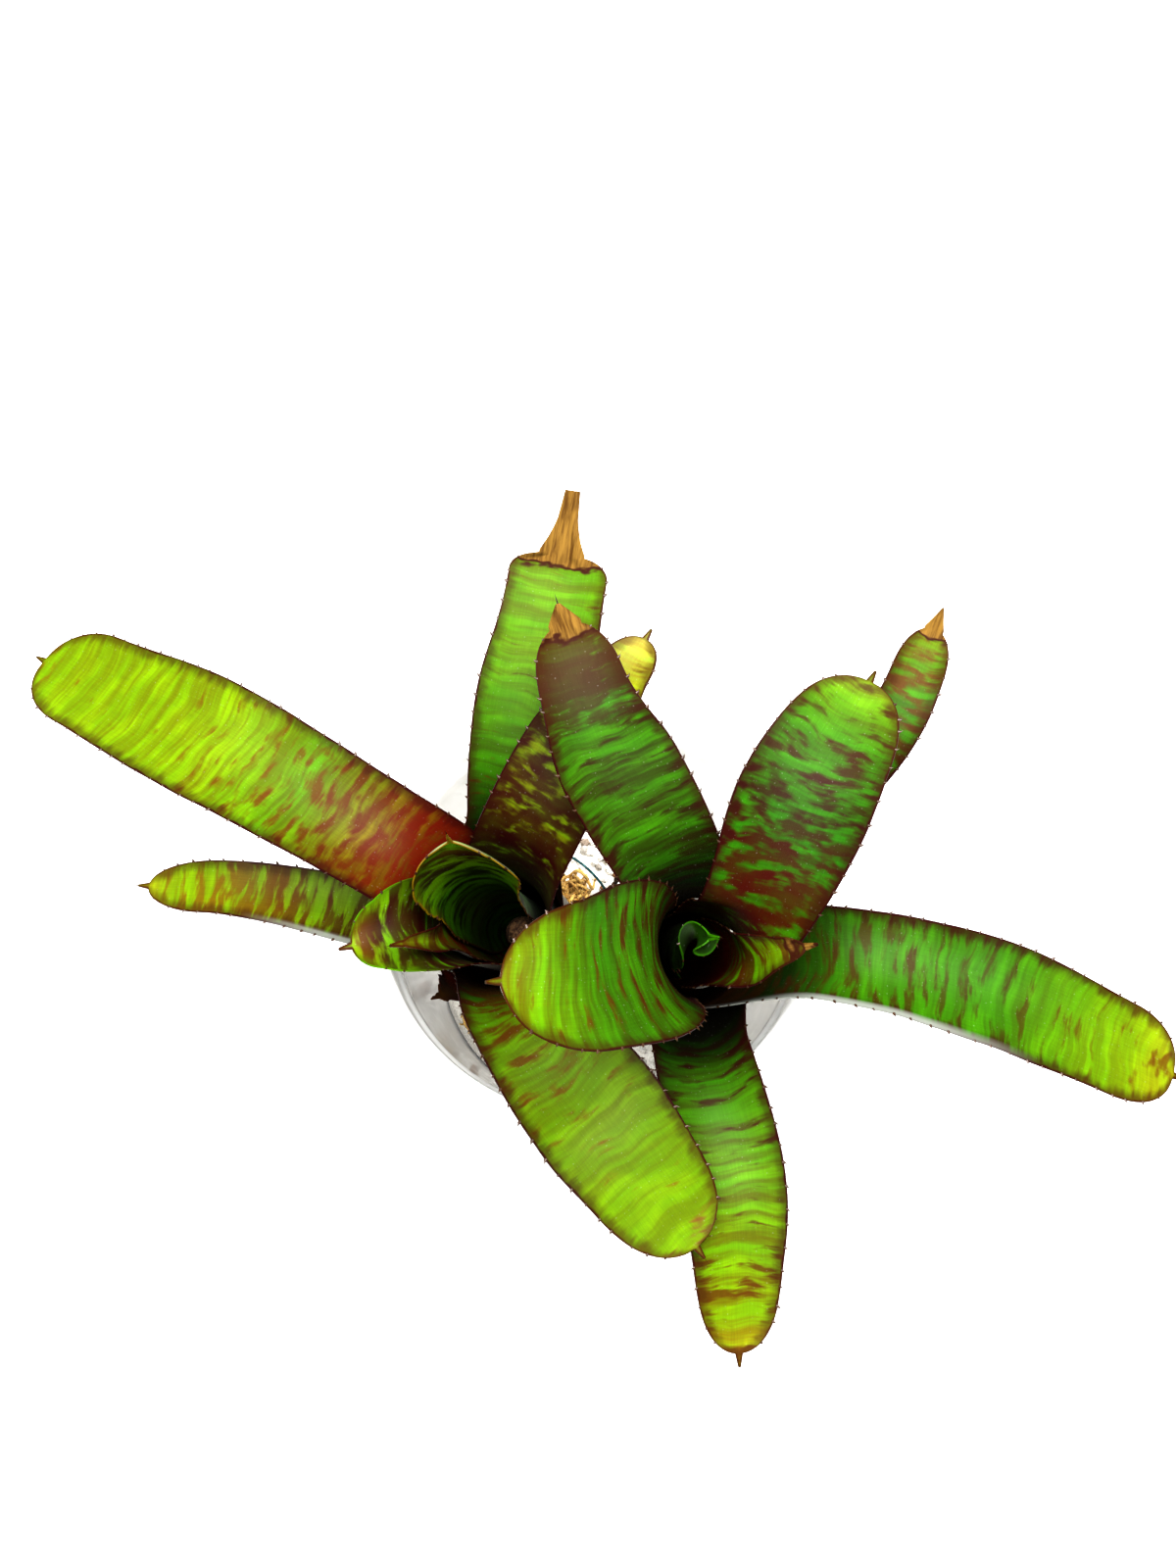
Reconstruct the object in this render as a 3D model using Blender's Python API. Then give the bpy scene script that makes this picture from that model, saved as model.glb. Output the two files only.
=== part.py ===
"""Two banded neoregelia rosettes joined by a runner, planted in a round white pot.

Every length below is in millimetres and is turned into metres when a mesh is made. The pot stands
on z = 0 with its centre on the origin, +Y is the back and +X is the right.
"""

from dataclasses import dataclass
from math import cos, pi, sin

import bpy
import numpy as np

MM = 0.001
GAP = 0.3

# Pot
POT_FOOT_RADIUS = 43.0
POT_WALL = 2.6
POT_FLOOR = 4.0
RIM_HEIGHT = 95.0
RIM_CREST_RADIUS = 61.0
RIM_OUTER_RADIUS = 63.9
RIM_INNER_RADIUS = 58.5
RIM_DEPTH = 6.0
POT_SEGMENTS = 48

# Growing medium and moss
MEDIUM_TOP = 45.7
MEDIUM_BUMP = 0.4

# Rosettes: where each stem starts, and its lean in mm per mm of height
STEM_FOOT = 46.0
STEM_TOP = 71.0
STEM_RADIUS = 5.0
AXES = {
    "left": ((-20.0, 4.0), (-0.10, -0.25)),
    "right": ((20.0, -2.0), (0.055, -0.29)),
}
RUNNER_RADIUS = 1.7
RUNNER_HEIGHT = 47.7

# Leaves
LEAF_THICKNESS = 0.7
SHEATH_FLARE = 15.0
SHEATH_ROWS = 5
BLADE_ROWS = 12
TIP_CROWDING = 1.25
LEAF_COLUMNS = 11
WIDE_AT = (0.0, 0.25, 0.6, 0.88)
CHANNEL_AT = (0.0, 0.3, 0.65, 1.0)
SPINE_TIP = ((0.0, 1.8), (3.0, 0.6))


@dataclass(frozen=True)
class Leaf:
    """One strap leaf: a sheath curled round the stem, then an arching blade.

    azimuth is the side of the rosette that it grows on, ring the radius of its sheath, foot the
    height where it leaves the stem and throat the height where the blade leaves the sheath. path
    holds three points of the midrib, wide the blade's widths at WIDE_AT, channel the half angle of
    its U section at CHANNEL_AT. blunt is the share of the blade before the tip rounds off, wrap the
    sheath's half angle at the stem, and tip the (distance, width) steps past the rounded end.
    """

    name: str
    side: str
    azimuth: float
    ring: float
    foot: float
    throat: float
    path: tuple
    wide: tuple
    channel: tuple
    blunt: float = 0.85
    wrap: float = 100.0
    tip: tuple = SPINE_TIP


LEAVES = (
    Leaf("left_leaf_low", "left", 181, 19.4, 50, 84,
         ((-48, -11, 103), (-92, -4, 110), (-120, -1, 106)), (22, 17, 15), (64, 36, 26, 20), 0.78),
    Leaf("left_leaf_stub", "left", 230, 20.8, 48.5, 84,
         ((-39, -25.5, 91), (-40.5, -27.5, 95), (-42, -29, 98)), (13, 11, 7), (24, 26, 28, 30), 0.7, 34),
    Leaf("left_leaf_front", "left", 286, 18.0, 52, 96,
         ((-20.4, -37.2, 118), (0.4, -64.8, 124.5), (22.6, -92, 114)), (26, 32.5, 27.5), (66, 36, 24, 18), 0.80),
    Leaf("left_leaf_dry_tip", "left", 78, 16.6, 54, 100,
         ((-21, 18, 127), (-12.5, 52, 147), (-9, 72, 154)), (25, 30, 26), (78, 34, 24, 22), 0.93,
         tip=((0, 12), (5, 9.5), (10, 5.8), (17, 4.4))),
    Leaf("left_leaf_long", "left", 143, 15.2, 56, 103,
         ((-46.3, -2.6, 127), (-95, 24, 138), (-151, 57, 126)), (31, 33.5, 29), (78, 36, 24, 16), 0.86),
    Leaf("left_leaf_back", "left", 60, 13.8, 58, 110,
         ((-17, 1.5, 132), (-4, 21, 148), (12, 47, 153)), (28, 26, 15), (80, 40, 26, 30), 0.85),
    Leaf("left_leaf_short", "left", 199, 12.6, 60, 114,
         ((-44.5, -23, 133), (-52, -26, 137), (-57.5, -28, 138.6)), (33, 28, 21), (88, 74, 55, 45),
         0.70, 110),
    Leaf("left_leaf_spear", "left", 218, 11.1, 62, 120,
         ((-38.6, -25.4, 134), (-43.1, -27.6, 140), (-45.4, -28.6, 142)), (10, 8, 6), (35, 45, 60, 60),
         0.50, 60),
    Leaf("left_leaf_hood", "left", 110, 9.6, 64, 120,
         ((-33, -7, 138), (-34, -6.5, 145), (-34.5, -6, 149)), (32, 33, 27), (106, 92, 70, 55),
         0.65, 120),
    Leaf("right_leaf_front", "right", 275, 18.0, 50, 92,
         ((26.5, -51.5, 110), (31.5, -77, 112.5), (32.8, -114, 99.5)), (27, 26, 20), (74, 46, 32, 22), 0.80),
    Leaf("right_leaf_narrow", "right", 49, 16.6, 52, 92,
         ((49.5, 6, 120), (75, 30.5, 139), (87, 54.8, 145.5)), (18, 17, 14), (66, 32, 28, 24), 0.86, 95,
         tip=((0, 5), (2.5, 3), (6, 0.6))),
    Leaf("right_leaf_long", "right", 355, 15.2, 54, 102,
         ((56, -25.5, 121), (93.5, -35, 124), (141, -52.5, 112)), (27, 28, 25), (76, 44, 26, 18), 0.86),
    Leaf("right_leaf_dry_tip", "right", 112, 13.8, 56, 106,
         ((17, -7.5, 138), (0, 18.5, 158.5), (-8, 42.5, 167)), (28, 30, 21), (78, 40, 26, 24), 0.84,
         tip=((0, 8), (2.5, 4.5), (5, 1.0))),
    Leaf("right_leaf_high", "right", 192, 12.2, 58, 116,
         ((12, -37, 157), (-3, -46.5, 177), (-19, -49.5, 185)), (31, 37, 31), (80, 60, 34, 26), 0.78),
    Leaf("right_leaf_back", "right", 42, 10.8, 60, 116,
         ((36.5, -20.5, 142), (48.5, 3, 160), (64, 29, 163)), (27, 32, 27), (72, 42, 26, 22), 0.78),
    Leaf("right_leaf_short", "right", 346, 9.4, 62, 118,
         ((34.5, -31, 138), (39.5, -32, 146), (46, -32.3, 152)), (20, 15, 9), (80, 66, 50, 40),
         0.60, 105),
    Leaf("right_leaf_heart", "right", 140, 7.6, 66, 118,
         ((21.5, -23.4, 130), (23.4, -25.6, 138), (26, -27, 142)), (19, 16, 11), (105, 85, 70, 60),
         0.60, 110),
)


def axis_at(side, height):
    """Centre of a rosette at the given heights, one row of x, y, z each."""
    (x, y), (lean_x, lean_y) = AXES[side]
    height = np.asarray(height, float)
    rise = height - STEM_FOOT
    return np.stack([x + lean_x * rise, y + lean_y * rise, height], -1)


def ease(value):
    """0 below 0, 1 above 1, and a smooth step between."""
    step = np.clip(value, 0.0, 1.0)
    return step * step * (3.0 - 2.0 * step)


def unit(vectors):
    """The vectors at length 1."""
    return vectors / np.maximum(np.linalg.norm(vectors, axis=-1, keepdims=True), 1e-12)


def monotone(knots, values, at):
    """Cubic curve through the values that never overshoots them, read at the given places."""
    x, y = np.asarray(knots, float), np.asarray(values, float)
    step = np.diff(x)
    slope = np.diff(y) / step
    same = slope[:-1] * slope[1:] > 0
    before = np.where(same, slope[:-1], 1.0)
    after = np.where(same, slope[1:], 1.0)
    w1, w2 = 2 * step[1:] + step[:-1], step[1:] + 2 * step[:-1]
    tangent = np.zeros(len(x))
    tangent[0] = slope[0]
    tangent[1:-1] = np.where(same, (w1 + w2) / (w1 / before + w2 / after), 0.0)
    at = np.clip(at, x[0], x[-1])
    i = np.clip(np.searchsorted(x, at, side="right") - 1, 0, len(step) - 1)
    s = (at - x[i]) / step[i]
    return (
        y[i] * (1 + 2 * s) * (1 - s) ** 2
        + y[i + 1] * s * s * (3 - 2 * s)
        + step[i] * s * (1 - s) * (tangent[i] * (1 - s) - tangent[i + 1] * s)
    )


def curve_through(points, at):
    """Centripetal Catmull-Rom curve from the second point to the last, read at shares of its length."""
    p = np.asarray(points, float)
    p = np.vstack([2 * p[0] - p[1], p, 2 * p[-1] - p[-2]])
    knot = np.concatenate([[0], np.cumsum(np.linalg.norm(np.diff(p, axis=0), axis=1) ** 0.5)])
    pieces = []
    for i in range(2, len(p) - 2):
        t = np.linspace(knot[i], knot[i + 1], 60)[:, None]

        def mix(a, b, start, end):
            return ((end - t) * a + (t - start) * b) / (end - start)

        a = [mix(p[i + j], p[i + j + 1], knot[i + j], knot[i + j + 1]) for j in (-1, 0, 1)]
        b = [mix(a[j], a[j + 1], knot[i + j - 1], knot[i + j + 1]) for j in (0, 1)]
        pieces.append(mix(b[0], b[1], knot[i], knot[i + 1]))
    curve = np.vstack(pieces)
    length = np.concatenate([[0], np.cumsum(np.linalg.norm(np.diff(curve, axis=0), axis=1))])
    at = np.asarray(at) * length[-1]
    return np.stack([np.interp(at, length, curve[:, k]) for k in range(3)], -1)


def leaf_grid(leaf):
    """The leaf's middle surface: rows from stem to tip, columns from margin to margin.

    Each row is an arc of the half angle th and the length w, drawn from the midrib c towards the
    normal n: c + w/2 sin(th u)/th b + w/2 (1 - cos(th u))/th n, for u from -1 to 1.
    """
    angle = np.radians(leaf.azimuth)
    out = np.array([cos(angle), sin(angle), 0.0])
    lean = np.array([*AXES[leaf.side][1], 0.0])
    share = np.linspace(0, 1, SHEATH_ROWS, endpoint=False) ** 1.35
    height = leaf.foot + (leaf.throat - leaf.foot) * share
    root = STEM_RADIUS + GAP + LEAF_THICKNESS / 2
    flare = np.clip((height - leaf.foot) / SHEATH_FLARE, 0, 1)
    ring = root + (leaf.ring - root) * (1 - (1 - flare) ** 2)
    sheath = axis_at(leaf.side, height) + ring[:, None] * out
    start = axis_at(leaf.side, np.array([leaf.throat - 8, leaf.throat])) + leaf.ring * out
    t = 1 - np.linspace(1, 0, BLADE_ROWS) ** TIP_CROWDING
    blade = curve_through([*start, *leaf.path], t)
    rib = np.vstack([sheath, blade])
    along = np.concatenate([np.zeros(SHEATH_ROWS), t])

    tangent = unit(np.gradient(rib, axis=0))
    upright = unit(tangent - tangent[:, 2:] * lean)
    level = upright * [1, 1, 0]
    far = np.linalg.norm(level, axis=1, keepdims=True)
    turned = ease(along / 0.3)[:, None] * ease((far - 0.1) / 0.5)
    heading = unit(out * (1 - turned) + unit(level) * turned)
    free = ease(along / 0.18)[:, None]
    direction = unit(np.array([0, 0, 1.0]) * (1 - free) + upright * free)
    up = np.array([0, 0, 1.0]) - 0.7 * heading
    normal = unit(up - (up * direction).sum(1, keepdims=True) * direction)
    side = np.cross(normal, direction)

    curl = leaf.wrap + (leaf.channel[0] - leaf.wrap) * ease(share)
    half = np.radians(np.concatenate([curl, monotone(CHANNEL_AT, leaf.channel, t)]))
    width = monotone(WIDE_AT, (2 * half[SHEATH_ROWS] * leaf.ring, *leaf.wide), t)
    rounding = np.clip((t - leaf.blunt) / (1 - leaf.blunt), 0, 1)
    width = np.maximum(width * np.sqrt(1 - rounding ** 2.2), leaf.tip[0][1])
    width = np.concatenate([2 * half[:SHEATH_ROWS] * ring, width])

    steps = np.array(leaf.tip[1:])
    rib = np.vstack([rib, rib[-1] + steps[:, :1] * tangent[-1]])
    width = np.concatenate([width, steps[:, 1]])
    more = len(steps)
    normal = np.vstack([normal, np.repeat(normal[-1:], more, 0)])
    side = np.vstack([side, np.repeat(side[-1:], more, 0)])
    half = np.concatenate([half, np.repeat(half[-1], more)])

    u = np.linspace(-1, 1, LEAF_COLUMNS)
    turn = half[:, None] * u
    radius = (width / 2 / half)[:, None]
    across = (radius * np.sin(turn))[..., None] * side[:, None]
    dip = (radius * (1 - np.cos(turn)))[..., None] * normal[:, None]
    return rib[:, None] + across + dip


def grid_normals(grid):
    """Unit normals of a grid of points, from its own rows and columns."""
    return unit(np.cross(np.gradient(grid, axis=1), np.gradient(grid, axis=0)))


def sheet_mesh(grid, thickness):
    """Points and faces of a closed sheet of the given thickness about the grid."""
    rows, columns = grid.shape[:2]
    shift = grid_normals(grid) * thickness / 2
    points = np.vstack([(grid + shift).reshape(-1, 3), (grid - shift).reshape(-1, 3)])
    index = np.arange(rows * columns).reshape(rows, columns)
    below = index + rows * columns
    a, b = index[:-1, :-1], index[:-1, 1:]
    c, d = index[1:, 1:], index[1:, :-1]
    top = np.stack([a, b, c, d], -1).reshape(-1, 4)
    bottom = top[:, ::-1] + rows * columns
    rim = np.concatenate([index[0, ::-1], index[1:, 0], index[-1, 1:], index[-2:0:-1, -1]])
    under = np.concatenate([below[0, ::-1], below[1:, 0], below[-1, 1:], below[-2:0:-1, -1]])
    wall = np.stack([rim, np.roll(rim, -1), np.roll(under, -1), under], -1)
    return points, np.vstack([top, bottom, wall])


def tube_mesh(path, radii, sides):
    """Points and faces of a round rod along the path, closed with a flat fan at each end."""
    path = np.asarray(path, float)
    tangent = unit(np.gradient(path, axis=0))
    helper = np.array([0.0, 0.0, 1.0]) if abs(tangent[0][2]) < 0.8 else np.array([1.0, 0.0, 0.0])
    first = unit(np.cross(tangent, helper))
    second = np.cross(tangent, first)
    turn = np.arange(sides) * 2 * pi / sides
    radii = np.broadcast_to(radii, len(path))[:, None, None]
    circle = np.cos(turn)[:, None] * first[:, None] + np.sin(turn)[:, None] * second[:, None]
    points = (path[:, None] + radii * circle).reshape(-1, 3)
    faces = []
    for i in range(len(path) - 1):
        for j in range(sides):
            k = (j + 1) % sides
            faces.append((i * sides + j, i * sides + k, (i + 1) * sides + k, (i + 1) * sides + j))
    faces.append(tuple(range(sides))[::-1])
    faces.append(tuple(range(len(points) - sides, len(points))))
    return points, faces


def lathe_mesh(profile, segments):
    """Points and faces of a profile of (radius, height) turned about z; radius 0 closes an end."""
    points, rows = [], []
    for radius, height in profile:
        if radius == 0:
            rows.append([len(points)] * segments)
            points.append((0.0, 0.0, height))
            continue
        rows.append(list(range(len(points), len(points) + segments)))
        for j in range(segments):
            turn = 2 * pi * j / segments
            points.append((radius * cos(turn), radius * sin(turn), height))
    faces = []
    for low, high in zip(rows, rows[1:]):
        for j in range(segments):
            k = (j + 1) % segments
            corners = [low[j], low[k], high[k], high[j]]
            faces.append(tuple(dict.fromkeys(corners)))
    return np.array(points), faces


def finish(name, mesh_data, colour, roughness, transmission=0.0):
    """A new object in metres, with its faces turned outwards, shaded smooth, in its own material."""
    points, faces = mesh_data
    mesh = bpy.data.meshes.new(name)
    mesh.from_pydata((np.asarray(points) * MM).tolist(), [], [tuple(map(int, f)) for f in faces])
    mesh.update()
    obj = bpy.data.objects.new(name, mesh)
    bpy.context.scene.collection.objects.link(obj)
    mesh.polygons.foreach_set("use_smooth", [True] * len(mesh.polygons))
    material = bpy.data.materials.new(name)
    material.use_nodes = True
    shader = material.node_tree.nodes["Principled BSDF"]
    shader.inputs["Base Color"].default_value = (*colour, 1.0)
    shader.inputs["Roughness"].default_value = roughness
    shader.inputs["Transmission Weight"].default_value = transmission
    mesh.materials.append(material)
    return obj


def pot_profile():
    """The pot's outline from the middle of its underside, round the rim, to its inner floor."""
    neck = RIM_HEIGHT - RIM_DEPTH
    roll = [(RIM_CREST_RADIUS + 2.4 * sin(a), RIM_HEIGHT - 2.4 * (1 - cos(a))) for a in (1.1, 0.55, 0.0)]
    inner_roll = [(RIM_CREST_RADIUS - 2.0 * sin(a), RIM_HEIGHT - 2.0 * (1 - cos(a))) for a in (0.6, 1.2)]
    return [
        (0, 0), (POT_FOOT_RADIUS - 1.5, 0), (POT_FOOT_RADIUS, 1.5),
        (RIM_OUTER_RADIUS - 4.4, neck - 9), (RIM_OUTER_RADIUS - 4.0, neck - 5),
        (RIM_OUTER_RADIUS - 0.4, neck - 3), (RIM_OUTER_RADIUS, neck),
        *roll, *inner_roll,
        (RIM_INNER_RADIUS, neck), (RIM_INNER_RADIUS - 1.4, neck - 2),
        (RIM_OUTER_RADIUS - 4.4 - POT_WALL, neck - 9),
        (POT_FOOT_RADIUS - POT_WALL + 1.0, POT_FLOOR + 3), (POT_FOOT_RADIUS - POT_WALL - 2, POT_FLOOR),
        (0, POT_FLOOR),
    ]


def inner_radius(height):
    """Radius of the pot's inner wall between its floor and its neck."""
    low, high = POT_FLOOR + 3, RIM_HEIGHT - RIM_DEPTH - 9
    narrow = POT_FOOT_RADIUS - POT_WALL + 1.0
    wide = RIM_OUTER_RADIUS - 4.4 - POT_WALL
    return narrow + (wide - narrow) * (height - low) / (high - low)


def medium_mesh():
    """The bed of coarse medium: a plug that follows the pot's wall, with a gently uneven top."""
    low = POT_FLOOR + 3
    profile = [
        (0, POT_FLOOR + GAP), (inner_radius(low) - 3.0 - GAP, POT_FLOOR + GAP),
        (inner_radius(low) - 0.5, low + 0.3), (inner_radius(MEDIUM_TOP - 3) - 0.5, MEDIUM_TOP - 3),
        (inner_radius(MEDIUM_TOP) - 2.5, MEDIUM_TOP - 1), (38, MEDIUM_TOP), (30, MEDIUM_TOP),
        (20, MEDIUM_TOP), (10, MEDIUM_TOP), (0, MEDIUM_TOP),
    ]
    points, faces = lathe_mesh(profile, POT_SEGMENTS)
    top = points[:, 2] > MEDIUM_TOP - 2
    x, y = points[:, 0], points[:, 1]
    uneven = 0.5 + 0.25 * np.sin(0.31 * x + 0.7) + 0.25 * np.cos(0.27 * y - 0.12 * x)
    points[:, 2] -= np.where(top, MEDIUM_BUMP * uneven, 0)
    return points, faces


def stem_mesh(side):
    """A short leaning stem that the leaves grow from, cut level at its foot."""
    height = np.array([STEM_FOOT, STEM_FOOT + 8, STEM_FOOT + 18, STEM_TOP - 2, STEM_TOP])
    radii = np.array([STEM_RADIUS - 0.4, STEM_RADIUS - 0.1, STEM_RADIUS - 0.1, 4.4, 2.6])
    points, faces = tube_mesh(axis_at(side, height), radii, 16)
    points[:16, 2] = STEM_FOOT
    return points, faces


def runner_mesh():
    """The woody runner that joins the two stems, resting on the medium."""
    a = axis_at("left", RUNNER_HEIGHT)
    b = axis_at("right", RUNNER_HEIGHT)
    along = unit(b - a)
    a, b = a + along * (STEM_RADIUS + GAP), b - along * (STEM_RADIUS + GAP)
    t = np.linspace(0, 1, 8)[:, None]
    bow = np.array([0.0, 1.0, 0.0]) * 3.0 * np.sin(pi * t)
    return tube_mesh(a + (b - a) * t + bow, RUNNER_RADIUS, 10)


def moss_mesh(centre, reach, height, turns):
    """A coiled tuft of moss: one thick strand that winds in from the outside while it rises."""
    t = np.linspace(0, 1, 15 * turns)
    turn = 2 * pi * turns * t
    spread = reach * (1 - 0.75 * t)
    x = centre[0] + spread * np.cos(turn)
    y = centre[1] + 0.8 * spread * np.sin(turn)
    z = MEDIUM_TOP + 1.95 + height * t + 0.5 * np.sin(3 * turn)
    return tube_mesh(np.stack([x, y, z], -1), 1.6 - 0.5 * t, 6)


# Clear the scene
for old in list(bpy.data.objects):
    bpy.data.objects.remove(old, do_unlink=True)

# Pot and what it holds
finish("pot", lathe_mesh(pot_profile(), POT_SEGMENTS), (0.93, 0.93, 0.91), 0.18)
finish("growing_medium", medium_mesh(), (0.80, 0.76, 0.68), 0.9)
finish("moss_middle", moss_mesh((-7.0, 17.5), 8.0, 9.0, 3), (0.62, 0.42, 0.14), 0.85)
finish("moss_left", moss_mesh((-33.0, -24.5), 6.5, 4.0, 2), (0.62, 0.42, 0.14), 0.85)

# Stems and runner
finish("stem_left", stem_mesh("left"), (0.22, 0.13, 0.07), 0.7)
finish("stem_right", stem_mesh("right"), (0.22, 0.13, 0.07), 0.7)
finish("runner", runner_mesh(), (0.26, 0.16, 0.08), 0.7)

# Things that stick out of the medium
twig = curve_through(
    [(4.6, 20.4, 40), (5, 20, MEDIUM_TOP + 0.5), (6, 18.8, 52), (8, 18, 60), (9.8, 18.3, 67), (9.5, 19.6, 72)],
    np.linspace(0, 1, 9),
)
finish("twig", tube_mesh(twig, np.linspace(1.1, 0.6, 9), 6), (0.13, 0.08, 0.05), 0.8)
arc = np.linspace(0, pi, 13)
hoop = np.stack([-4.75 - 9.25 * np.cos(arc), 22.75 + 7.25 * np.cos(arc), MEDIUM_TOP + 0.3 + 16.5 * np.sin(arc)], -1)
finish("wire_hoop", tube_mesh(hoop, 0.45, 6), (0.03, 0.12, 0.13), 0.4)

# Leaves
for leaf in LEAVES:
    finish(leaf.name, sheet_mesh(leaf_grid(leaf), LEAF_THICKNESS), (0.16, 0.42, 0.04), 0.35)
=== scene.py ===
"""Two banded neoregelia rosettes in a round white pot, dressed for a plain studio picture.

Sizes are in millimetres and meshes are made in metres. The pot stands on z = 0 with its centre on
the origin, +Y is the back and +X is the right.
"""

import logging
from collections.abc import Sequence
from dataclasses import dataclass, field
from enum import Enum
from itertools import combinations
from math import pi, radians

import bpy
import numpy as np
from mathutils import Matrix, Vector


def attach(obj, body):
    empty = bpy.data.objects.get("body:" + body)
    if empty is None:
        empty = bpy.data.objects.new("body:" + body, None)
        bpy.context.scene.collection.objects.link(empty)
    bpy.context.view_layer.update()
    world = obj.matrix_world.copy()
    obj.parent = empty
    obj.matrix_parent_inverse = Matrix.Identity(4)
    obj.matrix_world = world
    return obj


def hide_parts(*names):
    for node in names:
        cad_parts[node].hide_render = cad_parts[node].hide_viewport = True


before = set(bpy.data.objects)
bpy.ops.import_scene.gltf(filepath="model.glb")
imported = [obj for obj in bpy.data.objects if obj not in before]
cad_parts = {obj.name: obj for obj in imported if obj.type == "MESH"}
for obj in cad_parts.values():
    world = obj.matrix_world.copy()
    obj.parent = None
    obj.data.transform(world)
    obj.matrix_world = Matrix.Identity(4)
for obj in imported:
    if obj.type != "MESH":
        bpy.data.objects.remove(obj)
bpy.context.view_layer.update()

LOG = logging.getLogger("neoregelia")
MM = 0.001
SIDES = ("left", "right")
UP = np.array([0.0, 0.0, 1.0])

Array = np.ndarray
Triple = tuple[float, float, float]
Colour = Triple
Stops = tuple[tuple[float, float], ...]
ColourStops = tuple[tuple[float, Colour], ...]
Socket = bpy.types.NodeSocket
Material = bpy.types.Material
Piece = bpy.types.Object

# A Mix node's colour sockets, by number because their names stand for its other sockets too
MIX_FIRST, MIX_SECOND, MIX_RESULT = 6, 7, 2

# Leaf colours as linear red, green and blue
# INK_AND_CUP_SHADE is near black: partly the leaves' own darkest colour, partly painted shade where it fills
# the feet, throats and cups deep in the rosettes
INK_AND_CUP_SHADE: Colour = (0.0030, 0.0026, 0.0014)
PEAT: Colour = (0.014, 0.009, 0.001)
UMBER: Colour = (0.022, 0.012, 0.001)
KHAKI: Colour = (0.030, 0.026, 0.001)
WINE: Colour = (0.022, 0.0014, 0.0014)
PLUM: Colour = (0.022, 0.0030, 0.001)
CLARET: Colour = (0.030, 0.0025, 0.001)
CRIMSON: Colour = (0.050, 0.0035, 0.001)
OXBLOOD: Colour = (0.095, 0.0025, 0.0010)
MAHOGANY: Colour = (0.060, 0.012, 0.001)
BROWN: Colour = (0.040, 0.013, 0.0008)
RUSSET: Colour = (0.075, 0.022, 0.001)
RUST: Colour = (0.082, 0.038, 0.0010)
SALMON: Colour = (0.10, 0.045, 0.02)
OLIVE: Colour = (0.085, 0.070, 0.001)
OCHRE: Colour = (0.110, 0.072, 0.0020)
BOTTLE: Colour = (0.0070, 0.032, 0.0010)
JADE: Colour = (0.016, 0.100, 0.001)
GREEN: Colour = (0.028, 0.105, 0.0008)
GRASS: Colour = (0.060, 0.142, 0.0008)
MEADOW: Colour = (0.078, 0.150, 0.001)
PEA: Colour = (0.082, 0.150, 0.001)
LIME: Colour = (0.098, 0.170, 0.0009)
YELLOW: Colour = (0.150, 0.190, 0.0040)
BUTTER: Colour = (0.20, 0.25, 0.04)

# Factors from the skin's colour to that of its darker bars, and to that of its brighter patches, which are
# painted light, as if sun shone through the leaf
GREEN_SHADE: Colour = (0.90, 0.42, 0.5)
OLIVE_SHADE: Colour = (0.86, 0.56, 0.5)
DEEP_SHADE: Colour = (0.70, 0.30, 0.5)
PAINTED_GLOW: Colour = (1.32, 1.22, 1.0)


class Slot(Enum):
    """The record's material slots, one of which each leaf names."""

    POT = "white_pot"
    BED = "pale_medium"
    MOSS = "golden_moss"
    STEM = "brown_stem"
    TWIG = "dark_twig"
    WIRE = "teal_wire"
    BANDED = "banded_leaf"
    MAROON = "maroon_leaf"
    YOUNG = "young_leaf"
    DARK = "dark_sheath"


# Plain geometry


def unit(vectors: Array) -> Array:
    """The vectors at length 1."""
    return vectors / np.maximum(np.linalg.norm(vectors, axis=-1, keepdims=True), 1e-12)


def ease(value: Array) -> Array:
    """0 below 0, 1 above 1, and a smooth step between."""
    step = np.clip(value, 0.0, 1.0)
    return step * step * (3.0 - 2.0 * step)


def run_along(line: Array) -> Array:
    """Length of a line of points from its start to each of them."""
    return np.concatenate([[0], np.cumsum(np.linalg.norm(np.diff(line, axis=0), axis=1))])


def monotone(knots: Sequence[float], values: Sequence[float], at: Array) -> Array:
    """Cubic curve through the values that never overshoots them.

    Each inner slope is the weighted harmonic mean of the slopes on its two sides, or 0 where they
    differ in sign.

    Args:
        knots: rising places of the values.
        values: the value at each knot.
        at: places to read.

    Returns:
        The curve's value at each place.
    """
    x, y = np.asarray(knots, float), np.asarray(values, float)
    step = np.diff(x)
    slope = np.diff(y) / step
    same = slope[:-1] * slope[1:] > 0
    before = np.where(same, slope[:-1], 1.0)
    after = np.where(same, slope[1:], 1.0)
    w1, w2 = 2 * step[1:] + step[:-1], step[1:] + 2 * step[:-1]
    tangent = np.zeros(len(x))
    tangent[0] = slope[0]
    tangent[1:-1] = np.where(same, (w1 + w2) / (w1 / before + w2 / after), 0.0)
    at = np.clip(at, x[0], x[-1])
    i = np.clip(np.searchsorted(x, at, side="right") - 1, 0, len(step) - 1)
    s = (at - x[i]) / step[i]
    return (
        y[i] * (1 + 2 * s) * (1 - s) ** 2
        + y[i + 1] * s * s * (3 - 2 * s)
        + step[i] * s * (1 - s) * (tangent[i] * (1 - s) - tangent[i + 1] * s)
    )


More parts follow.
